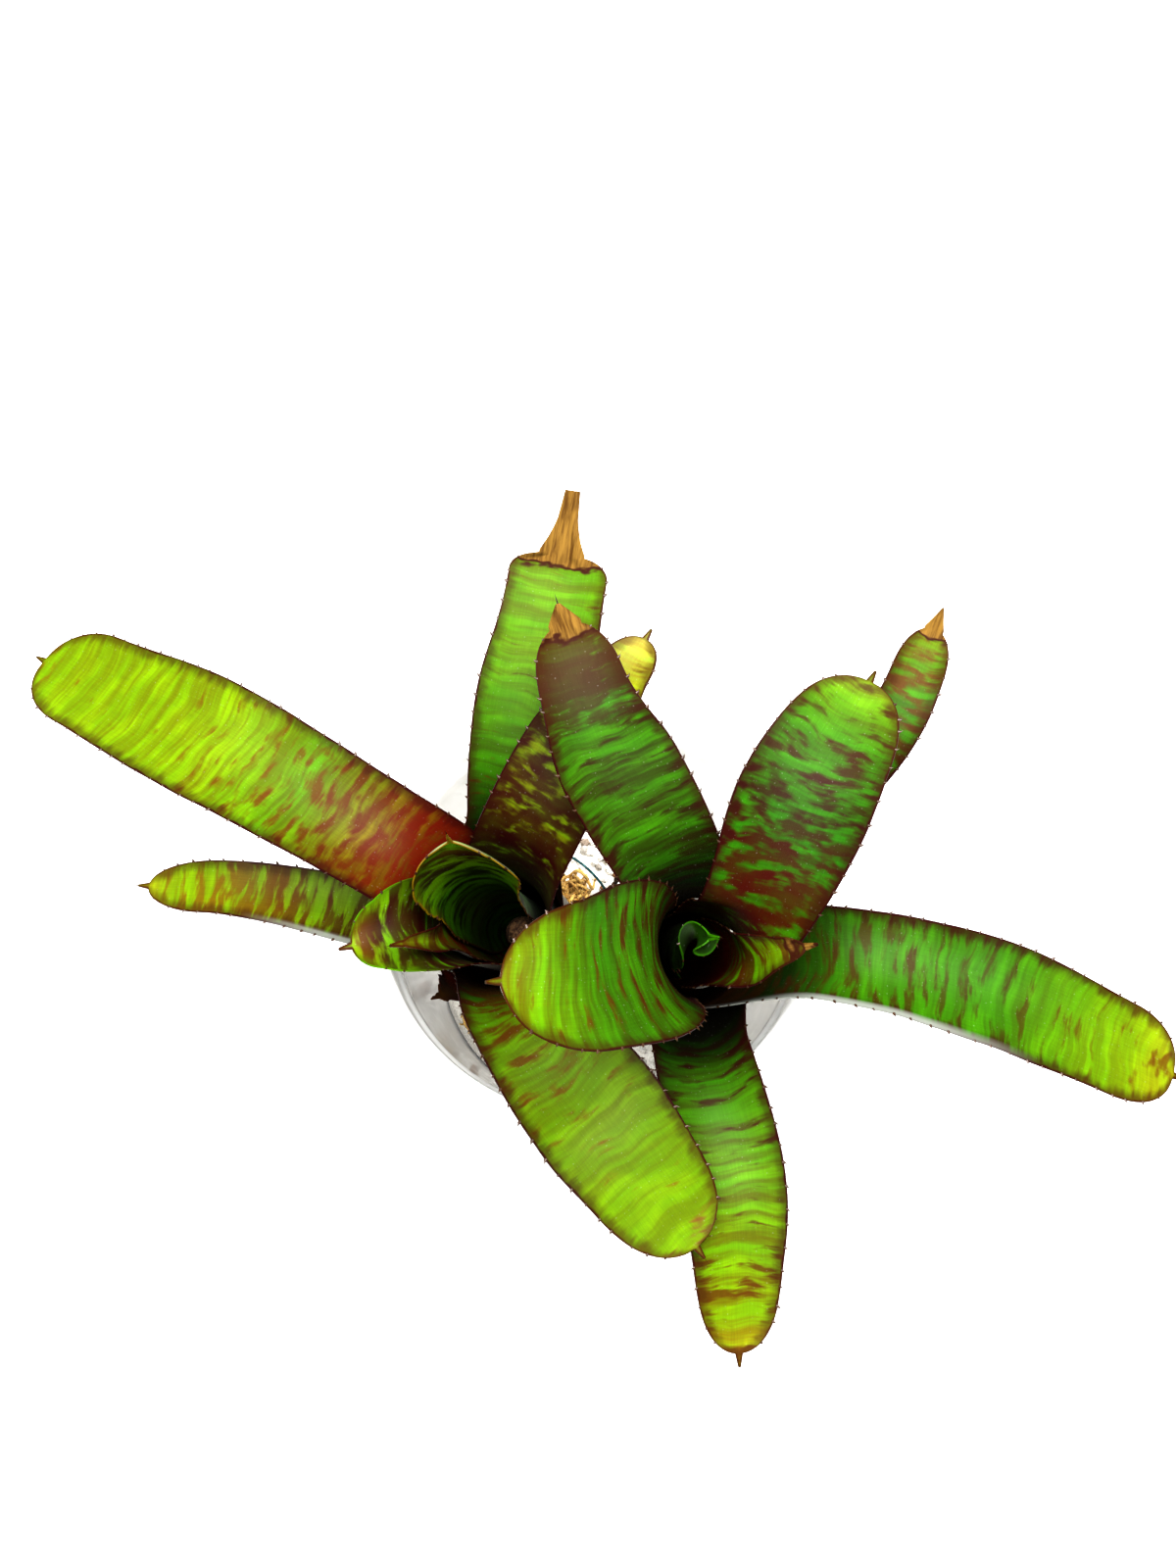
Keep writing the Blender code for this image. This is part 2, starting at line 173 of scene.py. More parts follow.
def curve_through(points: Sequence[Sequence[float]], at: Array) -> Array:
    """Centripetal Catmull-Rom curve from the second point to the last.

    Knots lie the square root of the points' distances apart, and each piece is mixed three times
    between its four nearest points.

    Args:
        points: the points, the first of which only sets the direction of the start.
        at: shares of the curve's length.

    Returns:
        One point for each share.
    """
    p = np.asarray(points, float)
    p = np.vstack([2 * p[0] - p[1], p, 2 * p[-1] - p[-2]])
    knot = np.concatenate([[0], np.cumsum(np.linalg.norm(np.diff(p, axis=0), axis=1) ** 0.5)])

    def mix(a: Array, b: Array, start: float, end: float, t: Array) -> Array:
        """The point between a and b where t lies between start and end."""
        return ((end - t) * a + (t - start) * b) / (end - start)

    pieces = []
    for i in range(2, len(p) - 2):
        t = np.linspace(knot[i], knot[i + 1], 60)[:, None]
        a = [mix(p[i + j], p[i + j + 1], knot[i + j], knot[i + j + 1], t) for j in (-1, 0, 1)]
        b = [mix(a[j], a[j + 1], knot[i + j - 1], knot[i + j + 1], t) for j in (0, 1)]
        pieces.append(mix(b[0], b[1], knot[i], knot[i + 1], t))
    curve = np.vstack(pieces)
    length = run_along(curve)
    where = np.asarray(at) * length[-1]
    return np.stack([np.interp(where, length, curve[:, k]) for k in range(3)], -1)


def read_stops(stops: Stops, at: Array) -> Array:
    """Straight lines between (place, value) stops, read at the given places."""
    return np.interp(at, [s for s, _ in stops], [v for _, v in stops])


def read_colours(stops: ColourStops, at: Array) -> Array:
    """Straight blends between (place, colour) stops, one row of red, green, blue per place."""
    return np.stack([read_stops(tuple((s, c[k]) for s, c in stops), at) for k in range(3)], -1)


def steady(value: float | Colour) -> Stops | ColourStops:
    """Stops that hold one value from a leaf's foot to its end."""
    return ((-1, value), (1, value))


def smooth_noise(seed: int, at: Array, spacing: float) -> Array:
    """Smooth noise from -1 to 1 along a line.

    Random values stand the spacing apart, and a smooth step joins each to the next.

    Args:
        seed: seed of the random values.
        at: places along the line.
        spacing: distance between the random values.

    Returns:
        The noise at each place.
    """
    at = (np.asarray(at, float) - np.min(at)) / spacing
    values = np.random.default_rng(seed).uniform(-1, 1, int(at.max()) + 3)
    low = at.astype(int)
    step = ease(at - low)
    return values[low] * (1 - step) + values[low + 1] * step


@dataclass
class Shape:
    """Points in millimetres with faces, and values that ride on the points.

    faces holds one array for each number of corners, kinds the material index of each of those
    arrays' faces, and values maps an attribute's name to one number or one colour per point. ruler
    is the UV map in centimetres, one row per point.
    """

    points: Array
    faces: list[Array]
    kinds: list[Array] = field(default_factory=list)
    values: dict[str, Array] = field(default_factory=dict)
    ruler: Array | None = None

    def __post_init__(self) -> None:
        """Gives every face the first material where none is named."""
        if not self.kinds:
            self.kinds = [np.zeros(len(f), int) for f in self.faces]

    @staticmethod
    def join(shapes: Sequence["Shape"]) -> "Shape":
        """One shape from several, each kept as its own island.

        Args:
            shapes: the shapes, in the order that their points are stored.

        Returns:
            The joined shape.
        """
        start = np.cumsum([0] + [len(s.points) for s in shapes])
        names = {name: s.values[name].shape[1:] for s in shapes for name in s.values}
        values = {
            name: np.concatenate([s.values.get(name, np.zeros((len(s.points), *size))) for s in shapes])
            for name, size in names.items()
        }
        flat = [np.zeros((len(s.points), 2)) if s.ruler is None else s.ruler for s in shapes]
        return Shape(
            np.vstack([s.points for s in shapes]),
            [f + begin for s, begin in zip(shapes, start) for f in s.faces],
            [k for s in shapes for k in s.kinds],
            values,
            np.vstack(flat) if any(s.ruler is not None for s in shapes) else None,
        )


def make_piece(
    name: str,
    shape: Shape,
    materials: Sequence[Material],
    nodes: Sequence[str] = (),
    sharp: float | None = 50.0,
) -> Piece:
    """Puts a shape into a mesh object at the origin and ties it to the frame.

    Args:
        name: the piece's name.
        shape: its points, faces and values.
        materials: its materials, in the order of the shape's kinds.
        nodes: CAD nodes that it stands for.
        sharp: angle in degrees past which an edge is sharp, or None for flat faces.

    Returns:
        The object.
    """
    mesh = bpy.data.meshes.new(name)
    loops = np.concatenate([f.ravel() for f in shape.faces])
    sizes = np.concatenate([np.full(len(f), f.shape[1]) for f in shape.faces])
    mesh.vertices.add(len(shape.points))
    mesh.vertices.foreach_set("co", (shape.points * MM).astype(np.float32).ravel())
    mesh.loops.add(len(loops))
    mesh.loops.foreach_set("vertex_index", loops.astype(np.int32))
    mesh.polygons.add(len(sizes))
    mesh.polygons.foreach_set("loop_start", (np.cumsum(sizes) - sizes).astype(np.int32))
    mesh.polygons.foreach_set("material_index", np.concatenate(shape.kinds).astype(np.int32))
    mesh.polygons.foreach_set("use_smooth", np.full(len(sizes), sharp is not None))
    mesh.update(calc_edges=True)
    if shape.ruler is not None:
        layer = mesh.uv_layers.new(name="ruler")
        layer.data.foreach_set("uv", shape.ruler[loops].astype(np.float32).ravel())
    for key, value in shape.values.items():
        if value.ndim == 1:
            mesh.attributes.new(key, "FLOAT", "POINT").data.foreach_set("value", value.astype(np.float32))
            continue
        colour = np.column_stack([value, np.ones(len(value))]).astype(np.float32)
        mesh.attributes.new(key, "FLOAT_COLOR", "POINT").data.foreach_set("color", colour.ravel())
    for material in materials:
        mesh.materials.append(material)
    mesh.validate(clean_customdata=False)
    if sharp is not None:
        mesh.set_sharp_from_angle(angle=radians(sharp))
    piece = bpy.data.objects.new(name, mesh)
    bpy.context.scene.collection.objects.link(piece)
    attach(piece, "root")
    if nodes:
        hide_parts(*nodes)
    LOG.info("%s: %d points, %d faces", name, len(shape.points), len(sizes))
    return piece


def grid_faces(rows: int, columns: int, closed: bool = False) -> Array:
    """Four-cornered faces of a grid of points stored row by row.

    Args:
        rows: number of rows.
        columns: number of columns.
        closed: whether the last column joins the first.

    Returns:
        One row of four point numbers for each face.
    """
    index = np.arange(rows * columns).reshape(rows, columns)
    if closed:
        index = np.column_stack([index, index[:, 0]])
    a, b = index[:-1, :-1], index[:-1, 1:]
    c, d = index[1:, 1:], index[1:, :-1]
    return np.stack([a, b, c, d], -1).reshape(-1, 4)


def end_fans(sides: int, rings: int) -> Array:
    """Triangles that close a stack of rings with one point before it and one past it.

    Args:
        sides: corners of each ring.
        rings: number of rings, whose points are stored first, followed by the two end points.

    Returns:
        One row of three point numbers for each face.
    """
    low = np.arange(sides)
    high = low + (rings - 1) * sides
    end = np.full(sides, rings * sides)
    before = np.stack([end, np.roll(low, -1), low], -1)
    return np.vstack([before, np.stack([end + 1, high, np.roll(high, -1)], -1)])


def tubes(paths: Array, radii: Array, sides: int) -> Shape:
    """Round rods along many paths at once, each closed with a point at both ends.

    A ring of the radius stands square to the path at each of its points, turned so that it never
    twists past a fixed helper direction.

    Args:
        paths: rods by points by 3, in millimetres.
        radii: rods by points.
        sides: corners of the ring.

    Returns:
        One shape with a value "rod" from 0 to 1 that differs between rods.
    """
    count, steps = paths.shape[:2]
    tangent = unit(np.gradient(paths, axis=1))
    helper = np.where(np.abs(tangent[:, :1, 2:]) < 0.8, UP, np.array([1.0, 0.0, 0.0]))
    first = unit(np.cross(tangent, helper))
    second = np.cross(tangent, first)
    turn = np.arange(sides) * 2 * pi / sides
    ring = np.cos(turn)[:, None] * first[:, :, None] + np.sin(turn)[:, None] * second[:, :, None]
    body = (paths[:, :, None] + radii[:, :, None, None] * ring).reshape(count, -1, 3)
    ends = paths[:, [0, -1]] + tangent[:, [0, -1]] * radii[:, [0, -1], None] * [[[-0.4], [0.4]]]
    points = np.concatenate([body, ends], 1)
    quads = grid_faces(steps, sides, closed=True)
    caps = end_fans(sides, steps)
    start = (np.arange(count) * points.shape[1])[:, None, None]
    rod = np.repeat(np.random.default_rng(count).random(count), points.shape[1])
    return Shape(
        points.reshape(-1, 3),
        [(quads + start).reshape(-1, 4), (caps + start).reshape(-1, 3)],
        values={"rod": rod},
    )


def lathe(profile: Array, segments: int) -> Shape:
    """A profile of (radius, height) rows turned about z, from the foot's middle round to the floor's.

    Args:
        profile: rows whose first and last radius are 0.
        segments: steps round the axis.

    Returns:
        The closed shape.
    """
    turn = np.arange(segments) * 2 * pi / segments
    inner = profile[1:-1]
    ring = np.stack(
        [inner[:, :1] * np.cos(turn), inner[:, :1] * np.sin(turn), inner[:, 1:] + 0 * turn], -1
    )
    points = np.vstack([ring.reshape(-1, 3), [0, 0, profile[0, 1]], [0, 0, profile[-1, 1]]])
    return Shape(points, [grid_faces(len(inner), segments, closed=True), end_fans(segments, len(inner))])


# Finishes


@dataclass(frozen=True)
class Grain:
    """A noise pattern: its scale on each axis, the octaves of its detail and their roughness."""

    scale: Triple
    detail: float = 2.0
    rough: float = 0.5


class Shading:
    """A material's node tree, with short calls that add a node and give its output."""

    def __init__(self, name: str, roughness: float, **sockets: float | Triple) -> None:
        """Starts a Principled material with plain values on the sockets that are named.

        Args:
            name: the material's name.
            roughness: its roughness where no node drives it.
            sockets: other values, with _ for a space in the socket's name.
        """
        self.material = bpy.data.materials.new(name)
        self.material.use_nodes = True
        self.tree = self.material.node_tree
        self.shader = self.tree.nodes["Principled BSDF"]
        self.shader.inputs["Roughness"].default_value = roughness
        for key, value in sockets.items():
            self.shader.inputs[key.replace("_", " ")].default_value = value

    def put(self, target: Socket, value: Socket | float | Sequence[float]) -> None:
        """Joins a socket to the target, or sets the target to a plain value.

        Args:
            target: the socket to feed.
            value: another node's socket, a number, a vector or a colour.
        """
        if isinstance(value, bpy.types.NodeSocket):
            self.tree.links.new(value, target)
            return
        if isinstance(value, (int, float)) or len(target.default_value) == len(value):
            target.default_value = value
            return
        target.default_value = (*value, 1.0)

    def drive(self, name: str, value: Socket) -> None:
        """Joins a socket to one of the shader's own inputs."""
        self.put(self.shader.inputs[name], value)

    def attribute(self, name: str, output: str = "Fac") -> Socket:
        """A value or, with output Color, a colour that rides on the mesh's points.

        Args:
            name: the attribute's name.
            output: Fac for a value or Color for a colour.

        Returns:
            The attribute's socket.
        """
        node = self.tree.nodes.new("ShaderNodeAttribute")
        node.attribute_name = name
        return node.outputs[output]

    def place(self, scale: Triple, ruler: bool = True) -> Socket:
        """The piece's ruler UV map, or its Object coordinates, times a scale on each axis.

        Args:
            scale: factors on the three axes.
            ruler: whether the ruler map is read.

        Returns:
            The scaled place.
        """
        if ruler:
            source = self.tree.nodes.new("ShaderNodeUVMap")
            source.uv_map = "ruler"
            out = source.outputs["UV"]
        else:
            out = self.tree.nodes.new("ShaderNodeTexCoord").outputs["Object"]
        mapping = self.tree.nodes.new("ShaderNodeMapping")
        self.put(mapping.inputs["Vector"], out)
        self.put(mapping.inputs["Scale"], scale)
        return mapping.outputs["Vector"]

    def noise(self, grain: Grain, ruler: bool = True, at: Socket | None = None) -> Socket:
        """The value of a grain on the ruler map, on Object coordinates or at a given place.

        Args:
            grain: the pattern.
            ruler: whether it lies on the ruler map.
            at: another place that it lies on.

        Returns:
            The noise, from 0 to 1.
        """
        node = self.tree.nodes.new("ShaderNodeTexNoise")
        place = self.place(grain.scale, ruler) if at is None else self.vector("MULTIPLY", at, grain.scale)
        self.put(node.inputs["Vector"], place)
        for key, value in (("Scale", 1.0), ("Detail", grain.detail), ("Roughness", grain.rough)):
            self.put(node.inputs[key], value)
        return node.outputs["Fac"]

    def solid_noise(self, scale: float, detail: float = 2.0, rough: float = 0.5) -> Socket:
        """A grain on Object coordinates with one scale on all its axes."""
        return self.noise(Grain((scale, scale, scale), detail, rough), ruler=False)

    def vector(self, operation: str, *parts: Socket | Triple) -> Socket:
        """A Vector Math node's result.

        Args:
            operation: the node's operation.
            parts: its inputs, in order.

        Returns:
            The result.
        """
        node = self.tree.nodes.new("ShaderNodeVectorMath")
        node.operation = operation
        for target, part in zip(node.inputs, parts):
            self.put(target, part)
        return node.outputs[0]

    def math(self, operation: str, first: Socket | float, second: Socket | float) -> Socket:
        """A Math node's result.

        Args:
            operation: the node's operation.
            first: its first input.
            second: its second input.

        Returns:
            The result.
        """
        node = self.tree.nodes.new("ShaderNodeMath")
        node.operation = operation
        self.put(node.inputs[0], first)
        self.put(node.inputs[1], second)
        return node.outputs[0]

    def plus(self, first: Socket | float, second: Socket | float) -> Socket:
        """The sum of two values."""
        return self.math("ADD", first, second)

    def minus(self, first: Socket | float, second: Socket | float) -> Socket:
        """The first value less the second."""
        return self.math("SUBTRACT", first, second)

    def times(self, first: Socket | float, second: Socket | float) -> Socket:
        """The product of two values."""
        return self.math("MULTIPLY", first, second)

    def between(self, value: Socket, low: Socket | float, high: Socket | float,
                start: float = 0.0, end: float = 1.0) -> Socket:
        """The value's smooth step from low to high, stretched from start to end.

        Args:
            value: the value.
            low: where the step starts.
            high: where it ends.
            start: the result at low.
            end: the result at high.

        Returns:
            The stepped value.
        """
        node = self.tree.nodes.new("ShaderNodeMapRange")
        node.interpolation_type = "SMOOTHSTEP"
        names = ("Value", "From Min", "From Max", "To Min", "To Max")
        for key, number in zip(names, (value, low, high, start, end)):
            self.put(node.inputs[key], number)
        return node.outputs["Result"]

    def blend(self, factor: Socket, first: Socket | Colour, second: Socket | Colour) -> Socket:
        """Two colours mixed by the factor.

        Args:
            factor: 0 for the first colour and 1 for the second.
            first: the first colour.
            second: the second colour.

        Returns:
            The mixed colour.
        """
        node = self.tree.nodes.new("ShaderNodeMix")
        node.data_type = "RGBA"
        self.put(node.inputs["Factor"], factor)
        self.put(node.inputs[MIX_FIRST], first)
        self.put(node.inputs[MIX_SECOND], second)
        return node.outputs[MIX_RESULT]

    def bump(self, height: Socket, strength: float, distance_mm: float) -> None:
        """Makes the height the surface's bump.

        Args:
            height: the height, from 0 to 1.
            strength: share of the bump that is used.
            distance_mm: millimetres that a height of 1 stands for.
        """
        node = self.tree.nodes.new("ShaderNodeBump")
        node.inputs["Strength"].default_value = strength
        node.inputs["Distance"].default_value = distance_mm * MM
        self.put(node.inputs["Height"], height)
        self.drive("Normal", node.outputs["Normal"])


@dataclass(frozen=True)
class LeafSkin:
    """The leaf's upper or lower skin: fresh colour, crossing bands, margin line and dried parts.

    The piece carries the colours "fresh", "glow" (of its brighter patches, painted light as if sun
    shone through the leaf), "shade" (of its soft darker bars), "band" (of its maroon bands) and "hem"
    (of its margin line). It carries the values "cover" (share of the skin under bands), "zebra"
    (strength of the darker bars), "blotch" (how far bands break into spots), "stain" (how strongly
    the hem's colour spreads inwards), "dust" (how silvery the underside is), "frost" (cover of the
    silvery margin strip), "dry" and "edge" (millimetres to the margin). Its ruler map holds
    centimetres across and along.
    """

    name: str
    underside: bool = False
    roughness: float = 0.40
    dry_roughness: float = 0.75
    scurf: Colour = (0.42, 0.42, 0.385)
    frost: Colour = (0.19, 0.20, 0.18)
    paper: tuple[Colour, Colour] = ((0.056, 0.026, 0.004), (0.150, 0.090, 0.020))
    scorch: Colour = (0.030, 0.007, 0.002)
    furrow: Colour = (0.004, 0.006, 0.0)
    sway: Triple = (0.0, 0.45, 0.0)
    wave: Grain = Grain((0.8, 0.5, 1.0), 1.0)
    bars: Grain = Grain((0.85, 3.8, 1.0), 3.0, 0.55)
    spots: Grain = Grain((1.7, 3.1, 1.0))
    shade: Grain = Grain((0.28, 3.6, 1.0), 3.0, 0.62)
    mottle: Grain = Grain((0.8, 1.3, 1.0))
    dust: Grain = Grain((0.6, 6.0, 1.0), 4.0, 0.7)
    veins: Grain = Grain((26.0, 1.6, 1.0))
    specks: Grain = Grain((17.0, 17.0, 1.0), 0.0)
    fibre: Grain = Grain((9.0, 0.9, 1.0), 4.0, 0.6)

    def banded(self, look: Shading, at: Socket, bars: Socket, spots: Socket) -> Socket:
        """The fresh skin with its patches of painted light, darker bars and maroon bands.

        Bands lie where a mix of bars and spots passes a limit of 0.7 less 0.4 times the cover.

        Args:
            look: the node tree.
            at: the warped ruler map.
            bars: noise of the cross bars.
            spots: noise of the spots.

        Returns:
            The colour.
        """
        shade, mottle = look.noise(self.shade, at=at), look.noise(self.mottle, at=at)
        blotch = look.attribute("blotch")
        pattern = look.plus(look.times(bars, look.minus(1.0, blotch)), look.times(spots, blotch))
        limit = look.minus(0.70, look.times(look.attribute("cover"), 0.40))
        mask = look.between(pattern, look.minus(limit, 0.08), look.plus(limit, 0.08))
        mask = look.times(mask, look.between(mottle, 0.30, 0.70, 0.80, 1.0))
        zebra = look.times(look.between(shade, 0.32, 0.68), look.attribute("zebra"))
        fresh, glow, dark, band = (look.attribute(key, "Color") for key in ("fresh", "glow", "shade", "band"))
        # Painted light: brighter glow patches, as if sun shone through the leaf
        colour = look.blend(look.between(mottle, 0.40, 0.66), fresh, glow)
        return look.blend(mask, look.blend(zebra, colour, dark), band)

    def hemmed(self, look: Shading, colour: Socket, bars: Socket, spots: Socket) -> Socket:
        """The colour with its margin line, the stain that spreads from it and the silvery strip.

        Args:
            look: the node tree.
            colour: the skin's colour.
            bars: noise that makes the stain's edge ragged.
            spots: noise that makes the line's edge ragged.

        Returns:
            The colour.
        """
        edge, hem = look.attribute("edge"), look.attribute("hem", "Color")
        line = look.between(look.plus(edge, look.times(spots, 1.2)), 0.65, 1.3, 1.0, 0.0)
        wash = look.between(look.minus(edge, look.times(bars, 6.0)), -2.4, 0.6, 0.75, 0.0)
        colour = look.blend(line, colour, hem)
        colour = look.blend(look.times(wash, look.attribute("stain")), colour, hem)
        return look.blend(look.attribute("frost"), colour, self.frost)

    def dried(self, look: Shading, colour: Socket, spots: Socket, fibre: Socket) -> Socket:
        """The colour with its papery dry parts, and a scorched line where they begin.

        Args:
            look: the node tree.
            colour: the skin's colour.
            spots: noise that makes the dry part's edge ragged.
            fibre: noise of the dry fibres.

        Returns:
            The colour.
        """
        ragged = look.plus(look.attribute("dry"), look.between(spots, 0.3, 0.7, -0.16, 0.16))
        paper = look.blend(look.between(fibre, 0.32, 0.66), *self.paper)
        scorch = look.times(look.between(ragged, 0.30, 0.46), look.between(ragged, 0.62, 0.50))
        return look.blend(scorch, look.blend(look.between(ragged, 0.44, 0.56), colour, paper), self.scorch)

    def build(self) -> Material:
        """Puts the bands, the hem and the dried parts together.

        Returns:
            The material.
        """
        look = Shading(self.name, self.roughness, Specular_IOR_Level=0.08)
        at = look.vector("MULTIPLY_ADD", look.noise(self.wave), self.sway, look.place((1.0, 1.0, 1.0)))
        bars, spots = look.noise(self.bars, at=at), look.noise(self.spots, at=at)
        veins, fibre = look.noise(self.veins), look.noise(self.fibre)
        colour = self.banded(look, at, bars, spots)
        colour = look.blend(look.between(veins, 0.3, 0.7, 0.0, 0.10), colour, self.furrow)
        colour = look.blend(look.between(look.noise(self.specks), 0.74, 0.84, 0.0, 0.09), colour, self.scurf)
        colour = self.hemmed(look, colour, bars, spots)
        if self.underside:
            dust = look.between(look.noise(self.dust, at=at), 0.30, 0.66, 0.42, 0.88)
            colour = look.blend(look.times(dust, look.attribute("dust")), colour, self.scurf)
        look.drive("Base Color", self.dried(look, colour, spots, fibre))
        rough = look.plus(look.attribute("dry"), look.times(veins, 0.3))
        look.drive("Roughness", look.between(rough, 0.0, 1.0, self.roughness, self.dry_roughness))
        look.bump(look.plus(look.times(veins, 0.6), look.times(fibre, 0.4)), 0.18, 0.12)
        return look.material


@dataclass(frozen=True)
class SpineHorn:
    """The dark horn of the marginal spines: nearly black, with browner patches."""

    name: str = "spine_horn"
    dark: Colour = (0.014, 0.004, 0.002)
    light: Colour = (0.060, 0.026, 0.008)

    def build(self) -> Material:
        """Mixes the two tones by a fine noise.

        Returns:
            The material.
        """
        look = Shading(self.name, 0.38)
        look.drive("Base Color", look.blend(look.solid_noise(900.0), self.dark, self.light))
        return look.material


@dataclass(frozen=True)
class PotGloss:
    """The pot's white gloss, with faint water marks and fine dust that roughen it."""

    name: str = "pot_gloss"
    dull: Colour = (0.87, 0.87, 0.865)
    clean: Colour = (0.91, 0.91, 0.905)
    cloud: Grain = Grain((38.0, 38.0, 12.0), 4.0, 0.6)

    def build(self) -> Material:
        """Mixes two whites by a cloudy noise and roughens the gloss in spots.

        Returns:
            The material.
        """
        look = Shading(
            self.name, 0.16, Coat_Weight=0.25, Coat_Roughness=0.06,
            Subsurface_Weight=0.7, Subsurface_Scale=0.005, Subsurface_Radius=(1.0, 1.0, 1.0),
        )
        cloud = look.noise(self.cloud, ruler=False)
        look.drive("Base Color", look.blend(cloud, self.dull, self.clean))
        look.drive("Roughness", look.between(look.solid_noise(160.0, 3.0), 0.35, 0.75, 0.12, 0.26))
        look.bump(cloud, 0.08, 0.1)
        return look.material


@dataclass(frozen=True)
class GritStone:
    """Crushed pumice and bark: pale grains with some grey and brown ones, pitted all over."""

    name: str = "grit_stone"
    pale: tuple[Colour, Colour] = ((0.88, 0.86, 0.81), (0.97, 0.96, 0.93))
    grey: Colour = (0.40, 0.37, 0.33)
    brown: Colour = (0.26, 0.13, 0.055)
    pit_shade: Colour = (0.2, 0.15, 0.1)

    def build(self) -> Material:
        """Picks each grain's tone by its own value and darkens its pits with painted shade.

        Returns:
            The material.
        """
        look = Shading(self.name, 0.9)
        kind = look.attribute("rod")
        pits = look.solid_noise(1600.0, 4.0, 0.65)
        colour = look.blend(look.between(kind, 0.84, 0.86), look.blend(kind, *self.pale), self.grey)
        colour = look.blend(look.between(kind, 0.94, 0.95), colour, self.brown)
        # Painted shade: darker where the pits sink, low in the bump
        look.drive("Base Color", look.blend(look.between(pits, 0.35, 0.6, 0.25, 0.0), colour, self.pit_shade))
        look.bump(pits, 0.6, 0.3)
        return look.material


@dataclass(frozen=True)
class MossStrand:
    """Dry golden moss: each strand its own brown or straw tone, with fine cross ribs."""

    name: str = "moss_strand"
    brown: Colour = (0.42, 0.22, 0.040)
    straw: Colour = (0.86, 0.62, 0.20)
    rib: Colour = (0.80, 0.62, 0.26)

    def build(self) -> Material:
        """Picks each strand's tone by its own value and lightens its ribs.

        Returns:
            The material.
        """
        look = Shading(self.name, 0.8, Sheen_Weight=0.3)
        rib = look.solid_noise(2600.0)
        colour = look.blend(look.attribute("rod"), self.brown, self.straw)
        look.drive("Base Color", look.blend(look.between(rib, 0.4, 0.65, 0.0, 0.45), colour, self.rib))
        look.bump(rib, 0.5, 0.15)
        return look.material


@dataclass(frozen=True)
class Bark:
    """Woody skin with long cracks, for the stems, the runner and the twig."""

    name: str
    dark: Colour
    light: Colour
    fleck: Colour = (0.42, 0.30, 0.18)
    crack: Grain = Grain((900.0, 900.0, 160.0), 4.0, 0.65)

    def build(self) -> Material:
        """Mixes two tones along the cracks, darker deep in them, partly the bark's own tone and partly
        painted shade, and scatters pale flecks.

        Returns:
            The material.
        """
        look = Shading(self.name, 0.78)
        crack = look.noise(self.crack, ruler=False)
        fleck = look.between(look.solid_noise(420.0, 3.0), 0.55, 0.7, 0.0, 0.5)
        # Darker deep in the cracks, low in the bump: partly the bark's own tone, partly painted shade
        colour = look.blend(look.between(crack, 0.35, 0.65), self.dark, self.light)
        look.drive("Base Color", look.blend(fleck, colour, self.fleck))
        look.bump(crack, 0.7, 0.35)
        return look.material


@dataclass(frozen=True)
class CoatedWire:
    """Thin wire in a dark teal plastic coat, a little scuffed."""

    name: str = "coated_wire"
    coat: Colour = (0.012, 0.09, 0.10)
    scuffed: Colour = (0.10, 0.26, 0.27)

    def build(self) -> Material:
        """Lightens and roughens the coat where it is scuffed.

        Returns:
            The material.
        """
        look = Shading(self.name, 0.35)
        scuff = look.solid_noise(700.0, 3.0)
        look.drive("Base Color", look.blend(look.between(scuff, 0.5, 0.75), self.coat, self.scuffed))
        look.drive("Roughness", look.between(scuff, 0.4, 0.7, 0.3, 0.6))
        return look.material


# Leaves


# How much of the silvery strip shows at places along the blade
FROST_RUN: Stops = ((0.0, 0.0), (0.08, 1.0), (0.45, 0.8), (0.7, 0.0))


@dataclass(frozen=True)
class LeafLook:
    """Colours of one leaf, as stops from -1 at its foot over 0 at its throat to 1 at its end.

    Before its first stop and past its last one a value stays as it is there. fresh is the skin's
    own colour, band that of the maroon bands and hem that of the margin line. cover is the share
    under bands, blotch how far bands break into spots, zebra the strength of the soft darker bars
    and darker the factor from fresh to their colour. dry rises past 0.5 where the leaf has dried,
    and stain is how strongly the hem's colour spreads inwards. dust is how silvery the underside
    is, and frost the width in mm of the silvery strip along one margin: above 0 along the left
    one, seen from the foot, and below 0 along the right one.
    """

    fresh: ColourStops
    cover: Stops
    zebra: Stops = steady(0.7)
    blotch: Stops = steady(0.0)
    dry: Stops = steady(0.0)
    band: ColourStops = ((-1, WINE), (0.1, OXBLOOD), (0.6, BROWN), (1, RUST))
    hem: ColourStops = ((-1, WINE), (0.7, WINE), (1, BROWN))
    darker: Colour = GREEN_SHADE
    stain: Stops = steady(0.8)
    dust: float = 1.0
    frost: float = 0.0


@dataclass(frozen=True)
class Leaf:
    """One strap leaf: a sheath curled round the stem, then an arching blade.

    azimuth is the side of the rosette that it grows on in degrees, ring the radius of its sheath,
    foot the height where it leaves the stem and throat the height where the blade leaves the
    sheath. path holds three points of the midrib, wide the blade's widths at a quarter, 0.6 and
    0.88 of it, channel the half angle of its U section from throat to end. blunt is the share of
    the blade before the tip rounds off, wrap the sheath's half angle at the stem, tip the
    (distance, width) steps past the rounded end, torn the depth of the nicks in its margin, wave
    that of its waves, and mucro the size of the spine at its end.
    """

    name: str
    side: str
    azimuth: float
    ring: float
    foot: float
    throat: float
    path: tuple[Triple, Triple, Triple]
    wide: Triple
    channel: tuple[float, float, float, float]
    look: LeafLook
    slot: Slot = Slot.BANDED
    blunt: float = 0.85
    wrap: float = 100.0
    tip: Stops = ((0.0, 1.8), (3.0, 0.6))
    torn: float = 0.0
    wave: float = 0.35
    mucro: float = 1.0


@dataclass(frozen=True)
class LeafSkins:
    """The three materials that every leaf wears."""

    upper: Material
    lower: Material
    horn: Material


